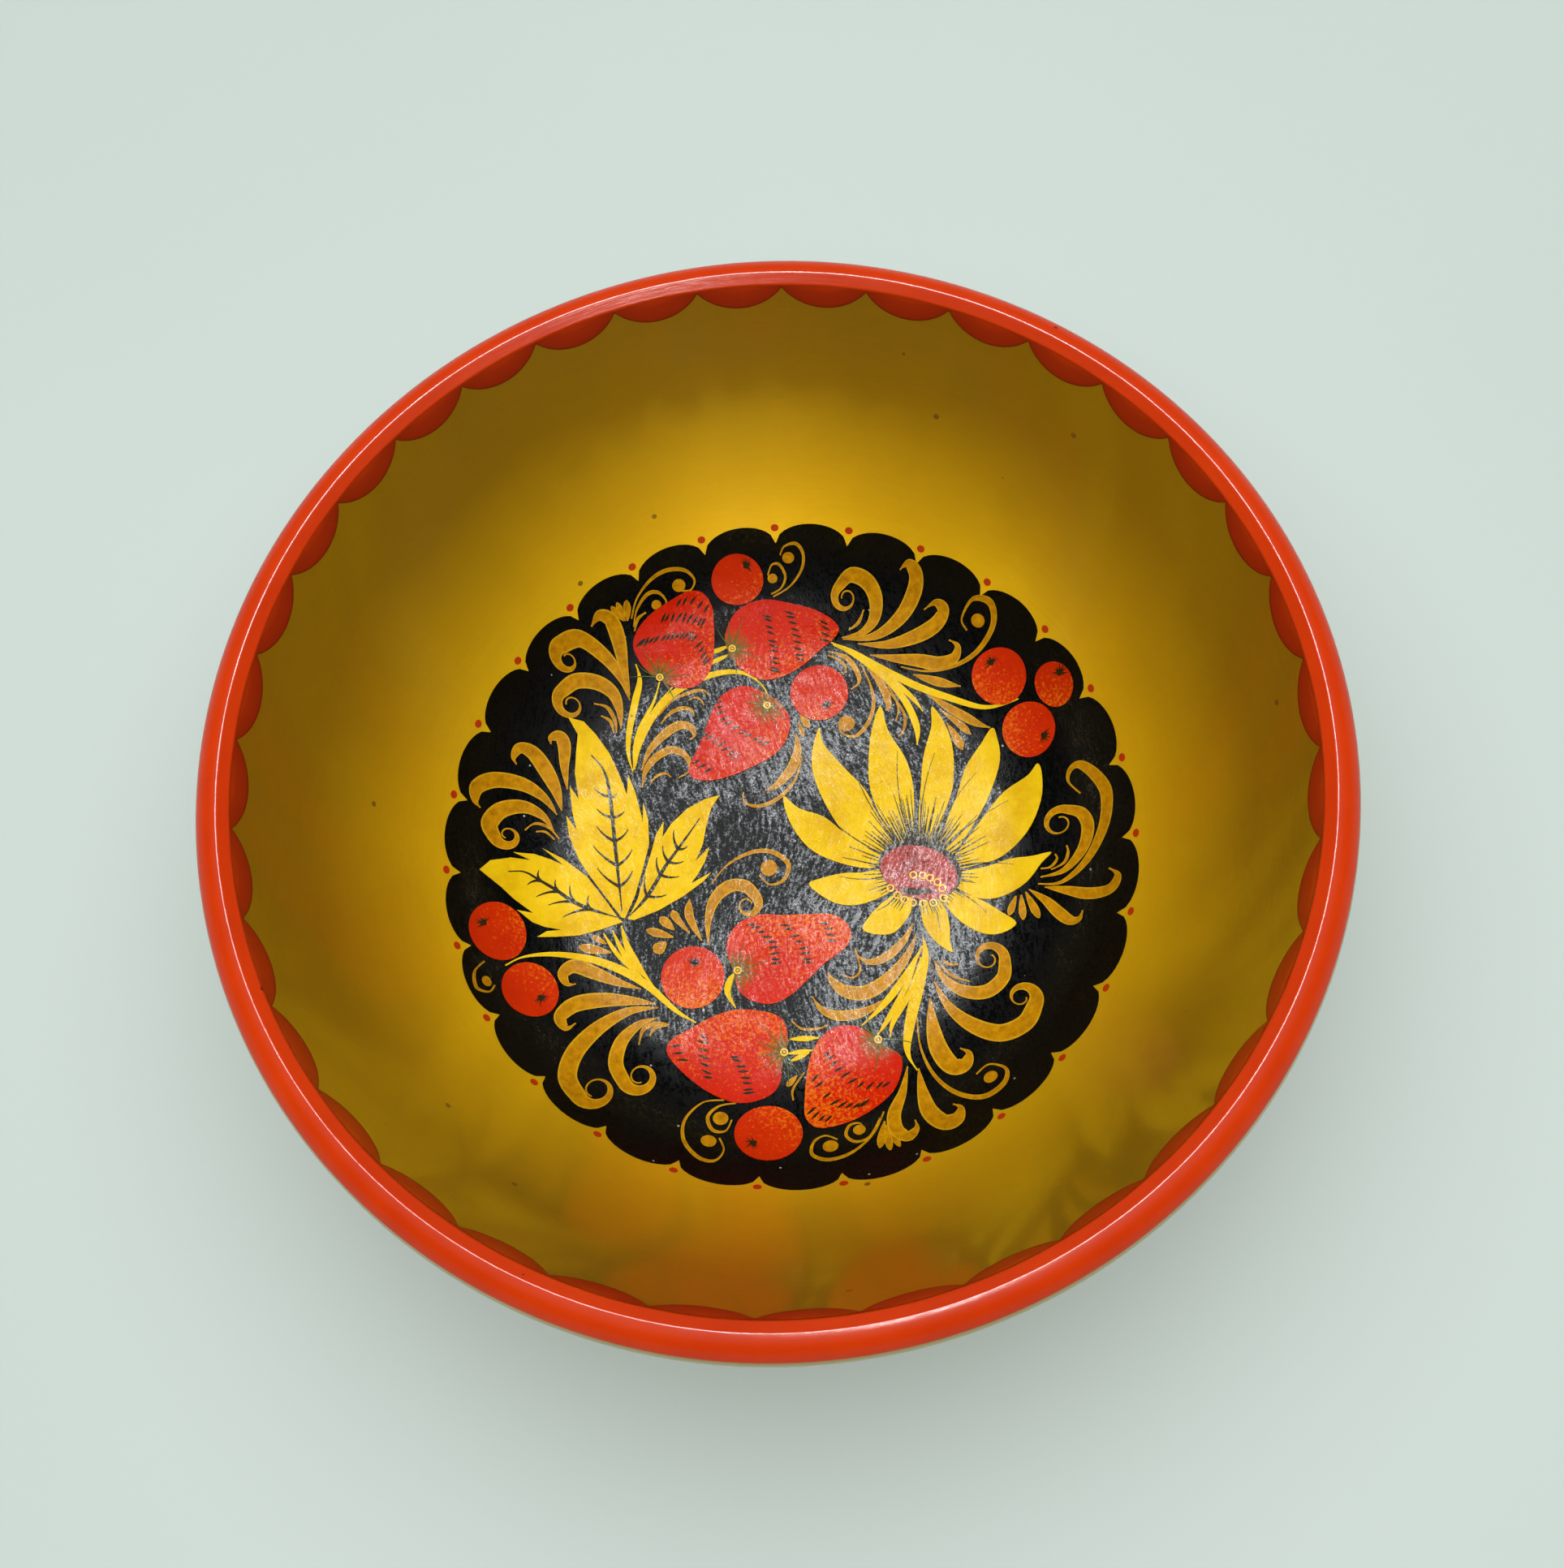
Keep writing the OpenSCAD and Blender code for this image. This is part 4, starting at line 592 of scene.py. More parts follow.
LOWER_RIGHT = [
    [[(31.5, -24.5), (28, -29), (22.8, -32.6), (18, -33.2), (15, -30.5)], 2.4, 0.45],
    [[(31.8, -27.5), (28.5, -33), (22.5, -38.5), (16, -41.3), (10.5, -40), (7.5, -36.5), (7, -34.3)],
     3.9, 0.5],
    [[(22, -43.5), (15, -46.3), (8.5, -46.5), (4, -44.3), (1.8, -40.3)], 2.8, 0.45],
    [[(15, -29), (15.5, -35), (13, -36.8), (10.5, -35.5)], 0.6, 0.5],
    [[(-4.5, -46), (-2, -48.5), (2, -49), (5, -48.5)], 0.7, 0.5],
    [[(35.3, -35.5), (37, -40.5), (41.5, -44.8), (47.5, -46), (52.3, -43), (53.6, -38.5)],
     3.8, 0.28, [430, 4.3, 1.3]],
    [[(34.3, -41), (37, -48.3), (42, -54.3), (48.5, -58), (55, -56.6), (58.6, -52)],
     4.8, 0.28, [400, 3.9, 1.2]],
    [[(32.6, -45.3), (32, -52), (32.4, -59), (34.8, -64.3), (38.2, -64.5), (39.7, -61.8), (37.8, -60)],
     5, 0.4],
    [[(28.3, -50), (27.9, -58), (30, -66), (34.5, -71.8), (40.5, -74.2), (46, -71.8), (47.6, -68),
     (44, -65.8), (40.3, -67.8)], 1.3, 0.5],
    [[(26.4, -63.5), (26.3, -70), (27, -75.5), (29.8, -79), (33.2, -78.6), (34.6, -76), (33, -74.6)],
     4.6, 0.4],
    [[(23.7, -62.5), (21.3, -69), (18.2, -74.5), (18, -78.8), (20.5, -81), (23, -79.3), (23, -77)],
     3.7, 0.45],
    [[(36.5, -36), (39, -40), (43.5, -42.5)], 0.8, 0.5],
    [[(37.5, -35.5), (39, -37), (41.5, -37.5)], 0.8, 0.5],
]

LOWER_LEFT = [
    [[(-43, -32), (-49, -29.3), (-55, -26), (-60, -23.6), (-63, -25.5), (-62.2, -28.4), (-60, -28.6)],
     3.9, 0.45],
    [[(-39.5, -36.5), (-46, -34.8), (-53.5, -33.7), (-60.5, -34.3), (-64.3, -37.5), (-63, -40.8),
     (-60.6, -39.5)], 4.4, 0.45],
    [[(-39, -37.6), (-47, -37.6), (-55, -41.3), (-61, -47.5), (-62.8, -54.5), (-60, -60.3)],
     4.6, 0.28, [400, 4.3, 2]],
    [[(-39.5, -40.3), (-44.5, -41.5), (-49.3, -45.5), (-51.2, -51.5), (-49.3, -57)],
     3.8, 0.28, [450, 4.2, 1.6]],
    [[(-36.5, -42.5), (-40, -41.8), (-43.5, -43), (-45, -47)], 1.3, 0.5],
    [[(-37, -42.7), (-40.5, -43), (-42, -45)], 0.9, 0.5], [[(-50, -21), (-58.5, -18.3)], 2.6, 0.7],
    [[(-51, -18.5), (-54.5, -15.8)], 1.6, 0.7],
    [[(-81.5, -21.8), (-83.5, -25), (-83, -29.5), (-80.5, -30.5), (-79.3, -28.5)], 0.7, 0.5],
]

MIDDLE = [
    [[(-33, -19), (-40, -16)], 2.4, 0.7], [[(-32.5, -17), (-36, -13)], 2.6, 0.7],
    [[(-35, -20), (-38.5, -22.5)], 3.4, 0.7], [[(-28.5, -18.5), (-31.5, -14), (-32.5, -11.5)], 2.2, 0.7],
    [[(-25.5, -21), (-28, -14), (-27.5, -9)], 2.4, 0.6],
    [[(-23.8, -22.5), (-23.2, -16), (-20.8, -10.2), (-16.5, -7), (-12, -7.5), (-9.5, -10.8)],
     3.6, 0.28, [-400, 3.3, 1.2]],
    [[(-21, -5.5), (-16, -0.8), (-9, 1.8), (-3.3, 1), (0.5, -3), (-1.3, -7.2), (-5.3, -8), (-7.8, -5)],
     1.3, 0.5],
]

BY_THE_RIM = [
    [[(15.5, -76), (13, -83)], 2.1, 0.7], [[(15.5, -77), (15.5, -84)], 2, 0.7],
    [[(16, -77), (18, -83.5)], 1.8, 0.7],
    [[(15.7, -73.5), (12, -79), (6, -83), (0, -84), (-3.8, -82), (-3, -78.8), (0, -77.5), (3, -79)],
     0.9, 0.5],
    [[(14.5, -75), (11, -79.5), (7.5, -80.3), (5.3, -78.3), (6.5, -75.8), (9, -75.5), (10, -77)], 0.8, 0.5],
    [[(-5, -60.5), (-8, -63)], 1.6, 0.7], [[(-3, -60), (-6.5, -64), (-6.8, -67)], 0.6, 0.5],
    [[(-21.5, -65.7), (-26, -66), (-29, -68.5), (-28, -72.2), (-24.8, -72.8), (-23, -70)], 0.9, 0.5],
    [[(-24.5, -64.5), (-30, -64.5), (-34.7, -68.5), (-35.3, -74), (-32, -79), (-28, -80.5), (-25.6, -78),
     (-26.5, -74.5)], 0.9, 0.5],
]

CURL_DOTS = [
    [(-26.3, 75.2), 1.4], [(-19.2, 79.4), 1.9], [(7.5, 78.6), 1.4], [(12.7, 82.4), 1.7], [(62.3, 55), 2],
    [(22.3, 35), 2.3], [(43.5, -69.3), 1.9], [(1, -80.5), 2], [(8.8, -77.3), 1.6], [(-25.8, -69.3), 2],
    [(-29.2, -75), 2], [(-81, -27.5), 1.5], [(-4.9, -3.3), 2.3],
]


# ---- materials ----


def material(name, roughness, metallic=0.0, gloss=0.05):
    """(material, its shader, its node tree). gloss is the share of light that its surface mirrors."""
    mat = bpy.data.materials.new(name)
    mat.use_nodes = True
    tree = mat.node_tree
    shader = tree.nodes["Principled BSDF"]
    shader.inputs["Roughness"].default_value = roughness
    shader.inputs["Metallic"].default_value = metallic
    shader.inputs["Specular IOR Level"].default_value = gloss
    return mat, shader, tree


def node(tree, kind, inputs=None, **settings):
    """Adds a node. inputs maps a socket's name or number to a value or to another node's output."""
    n = tree.nodes.new(kind)
    for key, value in settings.items():
        setattr(n, key, value)
    for key, value in (inputs or {}).items():
        if isinstance(value, bpy.types.NodeSocket):
            tree.links.new(value, n.inputs[key])
        else:
            n.inputs[key].default_value = value
    return n


def attribute(tree, name):
    return node(tree, "ShaderNodeAttribute", attribute_name=name).outputs["Fac"]


def place(tree, scale=(1, 1, 1)):
    """Coordinates in the row's frame, stretched by scale."""
    at = node(tree, "ShaderNodeTexCoord").outputs["Object"]
    return node(tree, "ShaderNodeMapping", {"Vector": at, "Scale": scale}).outputs["Vector"]


def noise(tree, where, scale, detail=3.0, rough=0.55):
    """A noise with features of about that many metres' reciprocal."""
    sockets = {"Vector": where, "Scale": scale, "Detail": detail, "Roughness": rough}
    return node(tree, "ShaderNodeTexNoise", sockets).outputs["Fac"]


def ramp(tree, fac, *stops):
    """stops are (place, value or colour)."""
    n = node(tree, "ShaderNodeValToRGB", {"Fac": fac})
    elements = n.color_ramp.elements
    while len(elements) < len(stops):
        elements.new(0.5)
    for element, (at, value) in zip(elements, stops):
        element.position = at
        element.color = (*value, 1) if isinstance(value, tuple) else (value, value, value, 1)
    return n.outputs["Color"]


def mix(tree, fac, a, b):
    """A colour between a and b, where fac is 0 and 1."""
    def colour(v):
        return (*v, 1) if isinstance(v, tuple) else v

    n = node(tree, "ShaderNodeMix", data_type="RGBA")
    for key, value in ((0, fac), (6, colour(a)), (7, colour(b))):
        if isinstance(value, bpy.types.NodeSocket):
            tree.links.new(value, n.inputs[key])
        else:
            n.inputs[key].default_value = value
    return n.outputs[2]


def maths(tree, operation, a, b=0.0):
    return node(tree, "ShaderNodeMath", {0: a, 1: b}, operation=operation).outputs[0]


def plus(tree, a, b):
    return maths(tree, "ADD", a, b)


def times(tree, a, b):
    return maths(tree, "MULTIPLY", a, b)


def polar_place(tree, around, across):
    """Coordinates that run round the bowl and across its turned streaks, stretched by those two."""
    at = node(tree, "ShaderNodeTexCoord").outputs["Object"]
    xyz = node(tree, "ShaderNodeSeparateXYZ", {0: at})
    x, y, z = xyz.outputs
    radius = maths(tree, "SQRT", plus(tree, times(tree, x, x), times(tree, y, y)))
    side_x = maths(tree, "DIVIDE", x, plus(tree, radius, 1e-5))
    side_y = maths(tree, "DIVIDE", y, plus(tree, radius, 1e-5))
    ring = node(tree, "ShaderNodeCombineXYZ", {
        0: times(tree, side_x, around),
        1: times(tree, side_y, around),
        2: plus(tree, times(tree, radius, across), times(tree, z, across)),
    })
    return ring.outputs[0]


def finish_coat(tree, shader, colour, height, strength, distance, roughness=None):
    """Joins a colour, a relief of that many metres and perhaps a roughness to the shader."""
    tree.links.new(colour, shader.inputs["Base Color"])
    bump = node(tree, "ShaderNodeBump", {"Strength": strength, "Distance": distance, "Height": height})
    tree.links.new(bump.outputs["Normal"], shader.inputs["Normal"])
    if roughness is not None:
        tree.links.new(roughness, shader.inputs["Roughness"])


def varnished(tree, shader, colour):
    """Joins a colour to the shader under the varnish that covers all the painting."""
    relief, roughness = varnish(tree)
    finish_coat(tree, shader, colour, relief, 1.0, VARNISH_DEPTH, roughness)


def varnish(tree):
    """(relief, roughness) of brushed and rubbed varnish: swirling streaks of polish over slow waves."""
    swirl = node(tree, "ShaderNodeTexNoise", {"Vector": place(tree), "Scale": 14.0, "Detail": 1.0})
    bent = node(tree, "ShaderNodeVectorMath", {0: swirl.outputs["Color"], 1: (0.05, 0.05, 0.0)},
                operation="MULTIPLY")
    at = node(tree, "ShaderNodeVectorMath", {0: place(tree), 1: bent.outputs[0]}, operation="ADD").outputs[0]
    drawn_out = node(tree, "ShaderNodeMapping", {"Vector": at, "Scale": (1.0, 0.3, 1.0)}).outputs[0]
    streaks = noise(tree, drawn_out, 1000, 3, 0.65)
    grain = noise(tree, place(tree), 1500, 3, 0.7)
    both = plus(tree, times(tree, streaks, 0.5), times(tree, grain, 0.5))
    wave = noise(tree, place(tree), 110, 2, 0.5)
    relief = plus(tree, times(tree, both, 0.4), times(tree, wave, 2.0))
    patch = noise(tree, place(tree), 34, 2, 0.5)
    rubbed = plus(tree, both, times(tree, patch, 0.3))
    return relief, ramp(tree, rubbed, (0.60, 0.50), (0.74, 0.12))


def dust(tree, colour, size, amount, tint):
    """Scatters small light or dark specks over a colour."""
    specks = node(tree, "ShaderNodeTexVoronoi", {"Vector": place(tree), "Scale": size})
    near = maths(tree, "LESS_THAN", specks.outputs["Distance"], 0.10)
    pick = node(tree, "ShaderNodeSeparateColor", {0: specks.outputs["Color"]})
    some = maths(tree, "LESS_THAN", pick.outputs[0], amount)
    return mix(tree, times(tree, near, some), colour, tint)



def gold_material(name):
    """Varnished tin gold with painted shade: brighter low in the bowl and darker up the wall towards the rim;
    turned streaks, a few scratches and pits.
    """
    mat, shader, tree = material(name, 0.40, metallic=0.6, gloss=0.2)
    shader.inputs["Coat Weight"].default_value = 0.8
    shader.inputs["Coat Roughness"].default_value = 0.10
    streaks = noise(tree, polar_place(tree, 7, 900), 1, 4, 0.6)
    cloud = noise(tree, place(tree), 22, 3, 0.5)
    # Painted shade: the colour ramps by height from bright gold low in the bowl to dark near the rim,
    # standing in for overhead light falling ever more slantwise on the steepening wall.
    height = node(tree, "ShaderNodeSeparateXYZ", {0: place(tree)}).outputs[2]
    up = plus(tree, times(tree, height, 12.0), times(tree, cloud, 0.25))
    colour = ramp(tree, up, (0.35, (0.80, 0.57, 0.007)), (0.62, (0.58, 0.38, 0.005)),
                  (0.95, (0.32, 0.20, 0.004)), (1.0, (0.29, 0.18, 0.004)))
    colour = mix(tree, times(tree, streaks, 0.3), colour, (0.42, 0.26, 0.004))
    colour = dust(tree, colour, 130, 0.10, (0.18, 0.10, 0.01))
    scratch = noise(tree, polar_place(tree, 3, 2500), 1, 2, 0.5)
    relief = plus(tree, streaks, times(tree, scratch, 0.5))
    finish_coat(tree, shader, colour, relief, 0.22, 0.0002)
    return mat


def red_material(name):
    """Red lacquer of the lip, brushed round the turning."""
    mat, shader, tree = material(name, 0.24, gloss=0.15)
    streaks = noise(tree, polar_place(tree, 12, 500), 1, 4, 0.6)
    cloud = noise(tree, place(tree), 45, 3, 0.6)
    colour = mix(tree, cloud, (0.44, 0.024, 0.001), (0.56, 0.040, 0.001))
    colour = mix(tree, times(tree, streaks, 0.3), colour, (0.30, 0.010, 0.001))
    colour = dust(tree, colour, 160, 0.05, (0.16, 0.01, 0.0))
    relief = plus(tree, streaks, noise(tree, place(tree), 260, 3, 0.6))
    finish_coat(tree, shader, colour, relief, 0.25, 0.0002)
    return mat


def brick_material(name):
    """Brick-red lacquer with painted shade: darkest along the scalloped edge, brighter towards the lip."""
    mat, shader, tree = material(name, 0.34, gloss=0.25)
    # Painted shade: the colour goes from near black at the scalloped edge (tone 0) to bright brick towards
    # the lip; the dots and the foot band take one fixed tone.
    up = ramp(tree, attribute(tree, "tone"), (0.0, (0.08, 0.004, 0.0)), (0.10, (0.29, 0.014, 0.0005)),
              (0.75, (0.38, 0.020, 0.001)), (1.0, (0.48, 0.030, 0.001)))
    streaks = noise(tree, polar_place(tree, 14, 300), 1, 4, 0.6)
    colour = mix(tree, times(tree, streaks, 0.45), up, (0.18, 0.006, 0.001))
    finish_coat(tree, shader, colour, streaks, 0.2, 0.0002)
    return mat


def black_material(name):
    """Black lacquer under rubbed varnish, with dust caught in it."""
    mat, shader, tree = material(name, 0.12)
    cloud = noise(tree, place(tree), 40, 4, 0.6)
    colour = mix(tree, cloud, (0.0006, 0.0007, 0.0008), (0.0022, 0.0024, 0.0026))
    colour = dust(tree, colour, 330, 0.10, (0.25, 0.26, 0.25))
    varnished(tree, shader, colour)
    return mat


def flat_paint(name, low, high):
    """Opaque brush paint under varnish, slightly uneven in colour."""
    mat, shader, tree = material(name, 0.28)
    cloud = noise(tree, place(tree), 120, 4, 0.65)
    patchy = noise(tree, place(tree), 420, 3, 0.6)
    colour = mix(tree, times(tree, plus(tree, cloud, patchy), 0.5), low, high)
    varnished(tree, shader, colour)
    return mat


def leaf_gold_material(name):
    """The bright yellow gold of leaf, petals and stems, with tide marks in its varnish."""
    mat, shader, tree = material(name, 0.28, gloss=0.015)
    cloud = noise(tree, place(tree), 90, 5, 0.7)
    colour = ramp(tree, cloud, (0.30, (0.47, 0.27, 0.003)), (0.5, (0.56, 0.36, 0.004)),
                  (0.7, (0.62, 0.42, 0.010)))
    colour = dust(tree, colour, 240, 0.05, (0.32, 0.15, 0.01))
    varnished(tree, shader, colour)
    return mat


def ochre_material(name):
    """Scroll paint that thins in the middle of each stroke and gathers at its edges."""
    mat, shader, tree = material(name, 0.28, gloss=0.03)
    edge = maths(tree, "ABSOLUTE", attribute(tree, "across"))
    grain = noise(tree, place(tree), 500, 4, 0.7)
    body = ramp(tree, grain, (0.30, (0.24, 0.10, 0.001)), (0.60, (0.40, 0.18, 0.002)),
                (0.80, (0.48, 0.25, 0.005)))
    rim = ramp(tree, edge, (0.70, 0.0), (0.95, 1.0))
    colour = mix(tree, times(tree, rim, 0.6), body, (0.54, 0.32, 0.01))
    varnished(tree, shader, colour)
    return mat


def fruit_material(name, low, high):
    """Red fruit with gold dabbed over its lit side: tone is 1 on that side and -1 away from it.
    along is the distance from the stalk, where the red turns green."""
    mat, shader, tree = material(name, 0.26, gloss=0.03)
    cloud = noise(tree, place(tree), 110, 3, 0.6)
    red = mix(tree, cloud, low, high)
    dab = noise(tree, place(tree), 1100, 3, 0.75)
    lit = plus(tree, dab, times(tree, attribute(tree, "tone"), 0.12))
    gold = ramp(tree, lit, (0.58, 0.0), (0.72, 1.0))
    colour = mix(tree, times(tree, gold, 0.6), red, (0.58, 0.17, 0.004))
    stalk = ramp(tree, attribute(tree, "along"), (0.0, 0.9), (1.0, 0.0))
    colour = mix(tree, stalk, colour, (0.09, 0.10, 0.008))
    varnished(tree, shader, colour)
    return mat


def heart_material(name):
    """The flower's pink-red centre, mottled with the black under it."""
    mat, shader, tree = material(name, 0.28)
    mottle = noise(tree, place(tree), 900, 3, 0.8)
    dark = noise(tree, place(tree), 160, 3, 0.6)
    fac = plus(tree, mottle, times(tree, dark, 0.5))
    colour = ramp(tree, fac, (0.52, (0.03, 0.002, 0.002)), (0.72, (0.24, 0.018, 0.014)),
                  (0.98, (0.40, 0.075, 0.065)))
    varnished(tree, shader, colour)
    return mat


def wood_material(name):
    """Sanded linden: pale, with faint rings."""
    mat, shader, tree = material(name, 0.6, gloss=0.4)
    rings = noise(tree, place(tree, (1, 1, 0.12)), 160, 5, 0.65)
    colour = ramp(tree, rings, (0.3, (0.42, 0.26, 0.12)), (0.55, (0.60, 0.42, 0.22)),
                  (0.75, (0.70, 0.52, 0.30)))
    finish_coat(tree, shader, colour, rings, 0.3, 0.0003)
    return mat


# ---- the coats ----


def dress(obj, mat, cad_node):
    """Gives a piece its material, hangs it on the root body and hides the CAD node it stands for."""
    obj.data.materials.clear()
    obj.data.materials.append(mat)
    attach(obj, "root")
    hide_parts(cad_node)


def inside_coat():
    rows = arc_profile(FLOOR_C, FLOOR_CURVE, 0.02, FLOOR_SLOPE, -GOLD, 0.5)
    rows += arc_profile(CORNER_C, CORNER_CURVE, FLOOR_SLOPE, WALL_LOW_SLOPE, -GOLD, 2.5)[1:]
    rows += arc_profile(WALL_C, WALL_CURVE, WALL_LOW_SLOPE, WALL_TOP_SLOPE, -GOLD, 1.0)[1:]
    return turned("gold_inside", flipped(rows), inward=True)


def outside_coat():
    rows = arc_profile(HEEL_C, HEEL_CURVE, HEEL_LOW_SLOPE, SIDE_LOW_SLOPE, GOLD, 2.5)
    rows += arc_profile(SIDE_C, SIDE_CURVE, SIDE_LOW_SLOPE, UNDER_LIP_SLOPE, GOLD, 1.0)[1:]
    rows += arc_profile(LIP_C, LIP_ROUND, UNDER_LIP_SLOPE, 90 + RED_EDGE_ANGLE, GOLD, 6.0)[1:]
    return turned("gold_outside", rows)


def lip_coat():
    """The red band from below the bevel, over the sharp edge and down the outside of the lip."""
    run, rise = LIP_EDGE[0] - WALL_TOP[0], LIP_EDGE[1] - WALL_TOP[1]
    length = math.hypot(run, rise)
    normal = (-rise / length, run / length)
    edge_soft = 0.12
    low = (WALL_TOP[0] + GOLD * normal[0], WALL_TOP[1] + GOLD * normal[1])
    high = (LIP_EDGE[0] + GOLD * normal[0] - edge_soft * run,
            LIP_EDGE[1] + GOLD * normal[1] - edge_soft * rise)
    wall = math.radians(WALL_TOP_SLOPE)
    from_wall = (-math.sin(wall), math.cos(wall))
    rows = [(WALL_TOP[0] - 0.2 * math.sin(wall), WALL_TOP[1] - 0.1, *from_wall),
            (low[0] - 0.05, low[1] - 0.05, *from_wall),
            (low[0] + 0.15 * run, low[1] + 0.15 * rise, *normal),
            (*high, *normal)]
    outer = arc_profile(LIP_C, LIP_ROUND, 178, 90 + RED_EDGE_ANGLE - 2, GOLD + 0.04, 4.0)
    last = outer[-1]
    rows += outer + [(last[0] - 0.2, last[1] - 0.1, last[2], last[3])]
    return turned("red_lip", rows, inward=True)


def wall_at_height(z, lift):
    """(r, z, slope) on the wall at that height, before and after it is lifted off the wood."""
    slope = math.degrees(math.acos((WALL_C[1] - z) / WALL_CURVE))
    r, up = on_arc(WALL_C, WALL_CURVE - lift, slope)
    return r, up, slope


LIP_SCALLOPS = 36
SCALLOP_DROP = 5.4
NOTCH_GAP = 0.5
LIP_TURN = 1.0


def scallop_band():
    """The red scallops under the lip, each a circle through its two notches."""
    half = WALL_TOP[0] * math.tan(math.pi / LIP_SCALLOPS)
    lobe_r = (half**2 + SCALLOP_DROP**2) / (2 * SCALLOP_DROP)
    top, notch = WALL_TOP[1], WALL_TOP[1] - NOTCH_GAP
    steps, rows = 20, 6
    paint = Paint()
    columns = []
    for i in range(LIP_SCALLOPS * steps):
        a = math.radians(LIP_TURN + i * 360 / (LIP_SCALLOPS * steps))
        side = (2 * (i % steps) / steps - 1) * half
        low = notch - SCALLOP_DROP + lobe_r - math.sqrt(lobe_r**2 - side**2)
        column = []
        for k in range(-1, rows + 1):
            z = low + (top - low) * max(0, k) / rows
            r, up, slope = wall_at_height(z, GOLD if k < 0 else GROUND)
            s = math.radians(slope)
            paint.points.append((r * math.cos(a) * MM, r * math.sin(a) * MM, up * MM))
            paint.normals.append((-math.sin(s) * math.cos(a), -math.sin(s) * math.sin(a), math.cos(s)))
            paint.along.append(0.0)
            paint.across.append(0.0)
            # Tone for the brick material's painted shade: 0 at the scalloped edge, rising towards the lip.
            paint.tone.append((z - low) / SCALLOP_DROP)
            column.append(len(paint.points) - 1)
        columns.append(column)
    for a, b in zip(columns, columns[1:] + columns[:1]):
        paint.faces += [(a[k], a[k + 1], b[k + 1], b[k]) for k in range(rows + 1)]
    return paint.build("red_scallops")


def foot_coat():
    """Brick-red band in the cove over the foot and down the foot's side."""
    rows = []
    steps = 8
    for i in range(steps + 1):
        a = math.radians(90 + i * 90 / steps)
        c, s = math.cos(a), math.sin(a)
        rows.append((COVE_C[0] + (COVE - GOLD) * c, COVE_C[1] + (COVE - GOLD) * s, -c, -s))
    rows += [(FOOT_R + GOLD, COVE_C[1] * 0.9, 1, 0), (FOOT_R + GOLD, PAINT_FOOT_GAP, 1, 0)]
    return turned("foot_paint", rows[::-1], tone=0.4)


MEDALLION_CENTRE = (1.2, -0.9)
MEDALLION_SCALLOPS = 27
MEDALLION_R = 87.0
MEDALLION_BULGE = 3.4
MEDALLION_TURN = 4.4
DOT_GAP = 2.8
DOT_R = 1.1


def medallion():
    ground, dots = Paint(), Paint()
    edge = scallops(MEDALLION_SCALLOPS, MEDALLION_R, MEDALLION_BULGE, MEDALLION_TURN, MEDALLION_CENTRE)
    ground.patch(edge, GROUND, step=2.2, under=GOLD)
    for i in range(MEDALLION_SCALLOPS):
        c = add(MEDALLION_CENTRE, polar(MEDALLION_R + DOT_GAP, MEDALLION_TURN + i * 360 / MEDALLION_SCALLOPS))
        dots.patch(spot_outline(c, DOT_R, 20), GROUND, step=0.6, under=GOLD, tone=0.8)
    return ground.build("black_medallion"), dots.build("red_dots")


# ---- the painting ----

# The side of each fruit where gold is dabbed on, as a direction, and how much of it.
STRAWBERRY_LIT = [(-30, 0.2), (-75, 0.3), (-50, 0.2), (60, 0.6), (80, 0.5), (200, 0.6)]
BERRY_LIT = [(-60, 0.0), (-90, 0.0), (-135, 0.3), (-110, 0.4), (180, 0.3), (20, 0.0), (45, 0.0), (-90, 0.6),
             (45, 0.2)]
STALK_REACH = 6.0
SEED_LENGTH, SEED_WIDTH = 3.0, 0.65
SEPALS = 9
SEPAL_FAN = 30
SEED_LEAN = 65
SEPAL_REACH = (5, 10)
BUTTON_R, BUTTON_HEART = 0.85, 0.35
EYE_R, EYE_HEART = 1.6, 0.8
EYE_HAIRS = 9
EYE_FAN = 24


def towards(centre, direction, radius, extra):
    """A function of the plan: 1 on that side of the centre, -1 on the other, plus extra."""
    way = polar(1, direction)
    return lambda p: ((p[0] - centre[0]) * way[0] + (p[1] - centre[1]) * way[1]) / radius + extra


def middle(points):
    return (sum(p[0] for p in points) / len(points), sum(p[1] for p in points) / len(points))


def little_ring(c, r):
    """A closed line round c, which ends where it starts."""
    return [add(c, polar(r, 30 * k)) for k in range(13)]


def paint_seeds(rng):
    seeds = Paint()
    for row, count in SEED_ROWS:
        line = smooth(row, 12)
        for i in range(count):
            c = line[round(i * (len(line) - 1) / (count - 1))]
            lean = heading(row[0], row[-1]) + SEED_LEAN + rng.uniform(-10, 10)
            half = polar(SEED_LENGTH / 2 * rng.uniform(0.8, 1.1), lean)
            ends = [add(c, half), c, add(c, (-half[0], -half[1]))]
            seeds.ribbon(smooth(ends, 3), lambda t: max(0.15, SEED_WIDTH * math.sin(math.pi * t)), DETAIL,
                         FRUIT, lanes=2)
    return seeds


def paint_strawberries(rng):
    straw, sepals, buttons = Paint(), Paint(), Paint()
    for (outline, stalk, fan), (lit, extra) in zip(STRAWBERRIES, STRAWBERRY_LIT):
        centre = middle(outline)
        reach = max(gap(centre, p) for p in outline)
        straw.patch(smooth(outline, 4, closed=True), FRUIT, step=1.5, tone=towards(centre, lit, reach, extra),
                    along=lambda p, s=stalk: min(1.0, gap(p, s) / STALK_REACH))
        for i in range(SEPALS):
            way = fan + (i - (SEPALS - 1) / 2) * SEPAL_FAN
            tip = add(stalk, polar(rng.uniform(*SEPAL_REACH), way))
            sepals.fine_line(stalk, tip, 0.5, DETAIL, GROUND, bow=rng.uniform(-0.5, 0.5))
        buttons.ribbon(little_ring(stalk, BUTTON_R), lambda t: 0.5, TOP, FRUIT, lanes=2)
        buttons.patch(spot_outline(stalk, BUTTON_HEART, 10), TOP, step=0.5, under=FRUIT)
    return straw, sepals, buttons


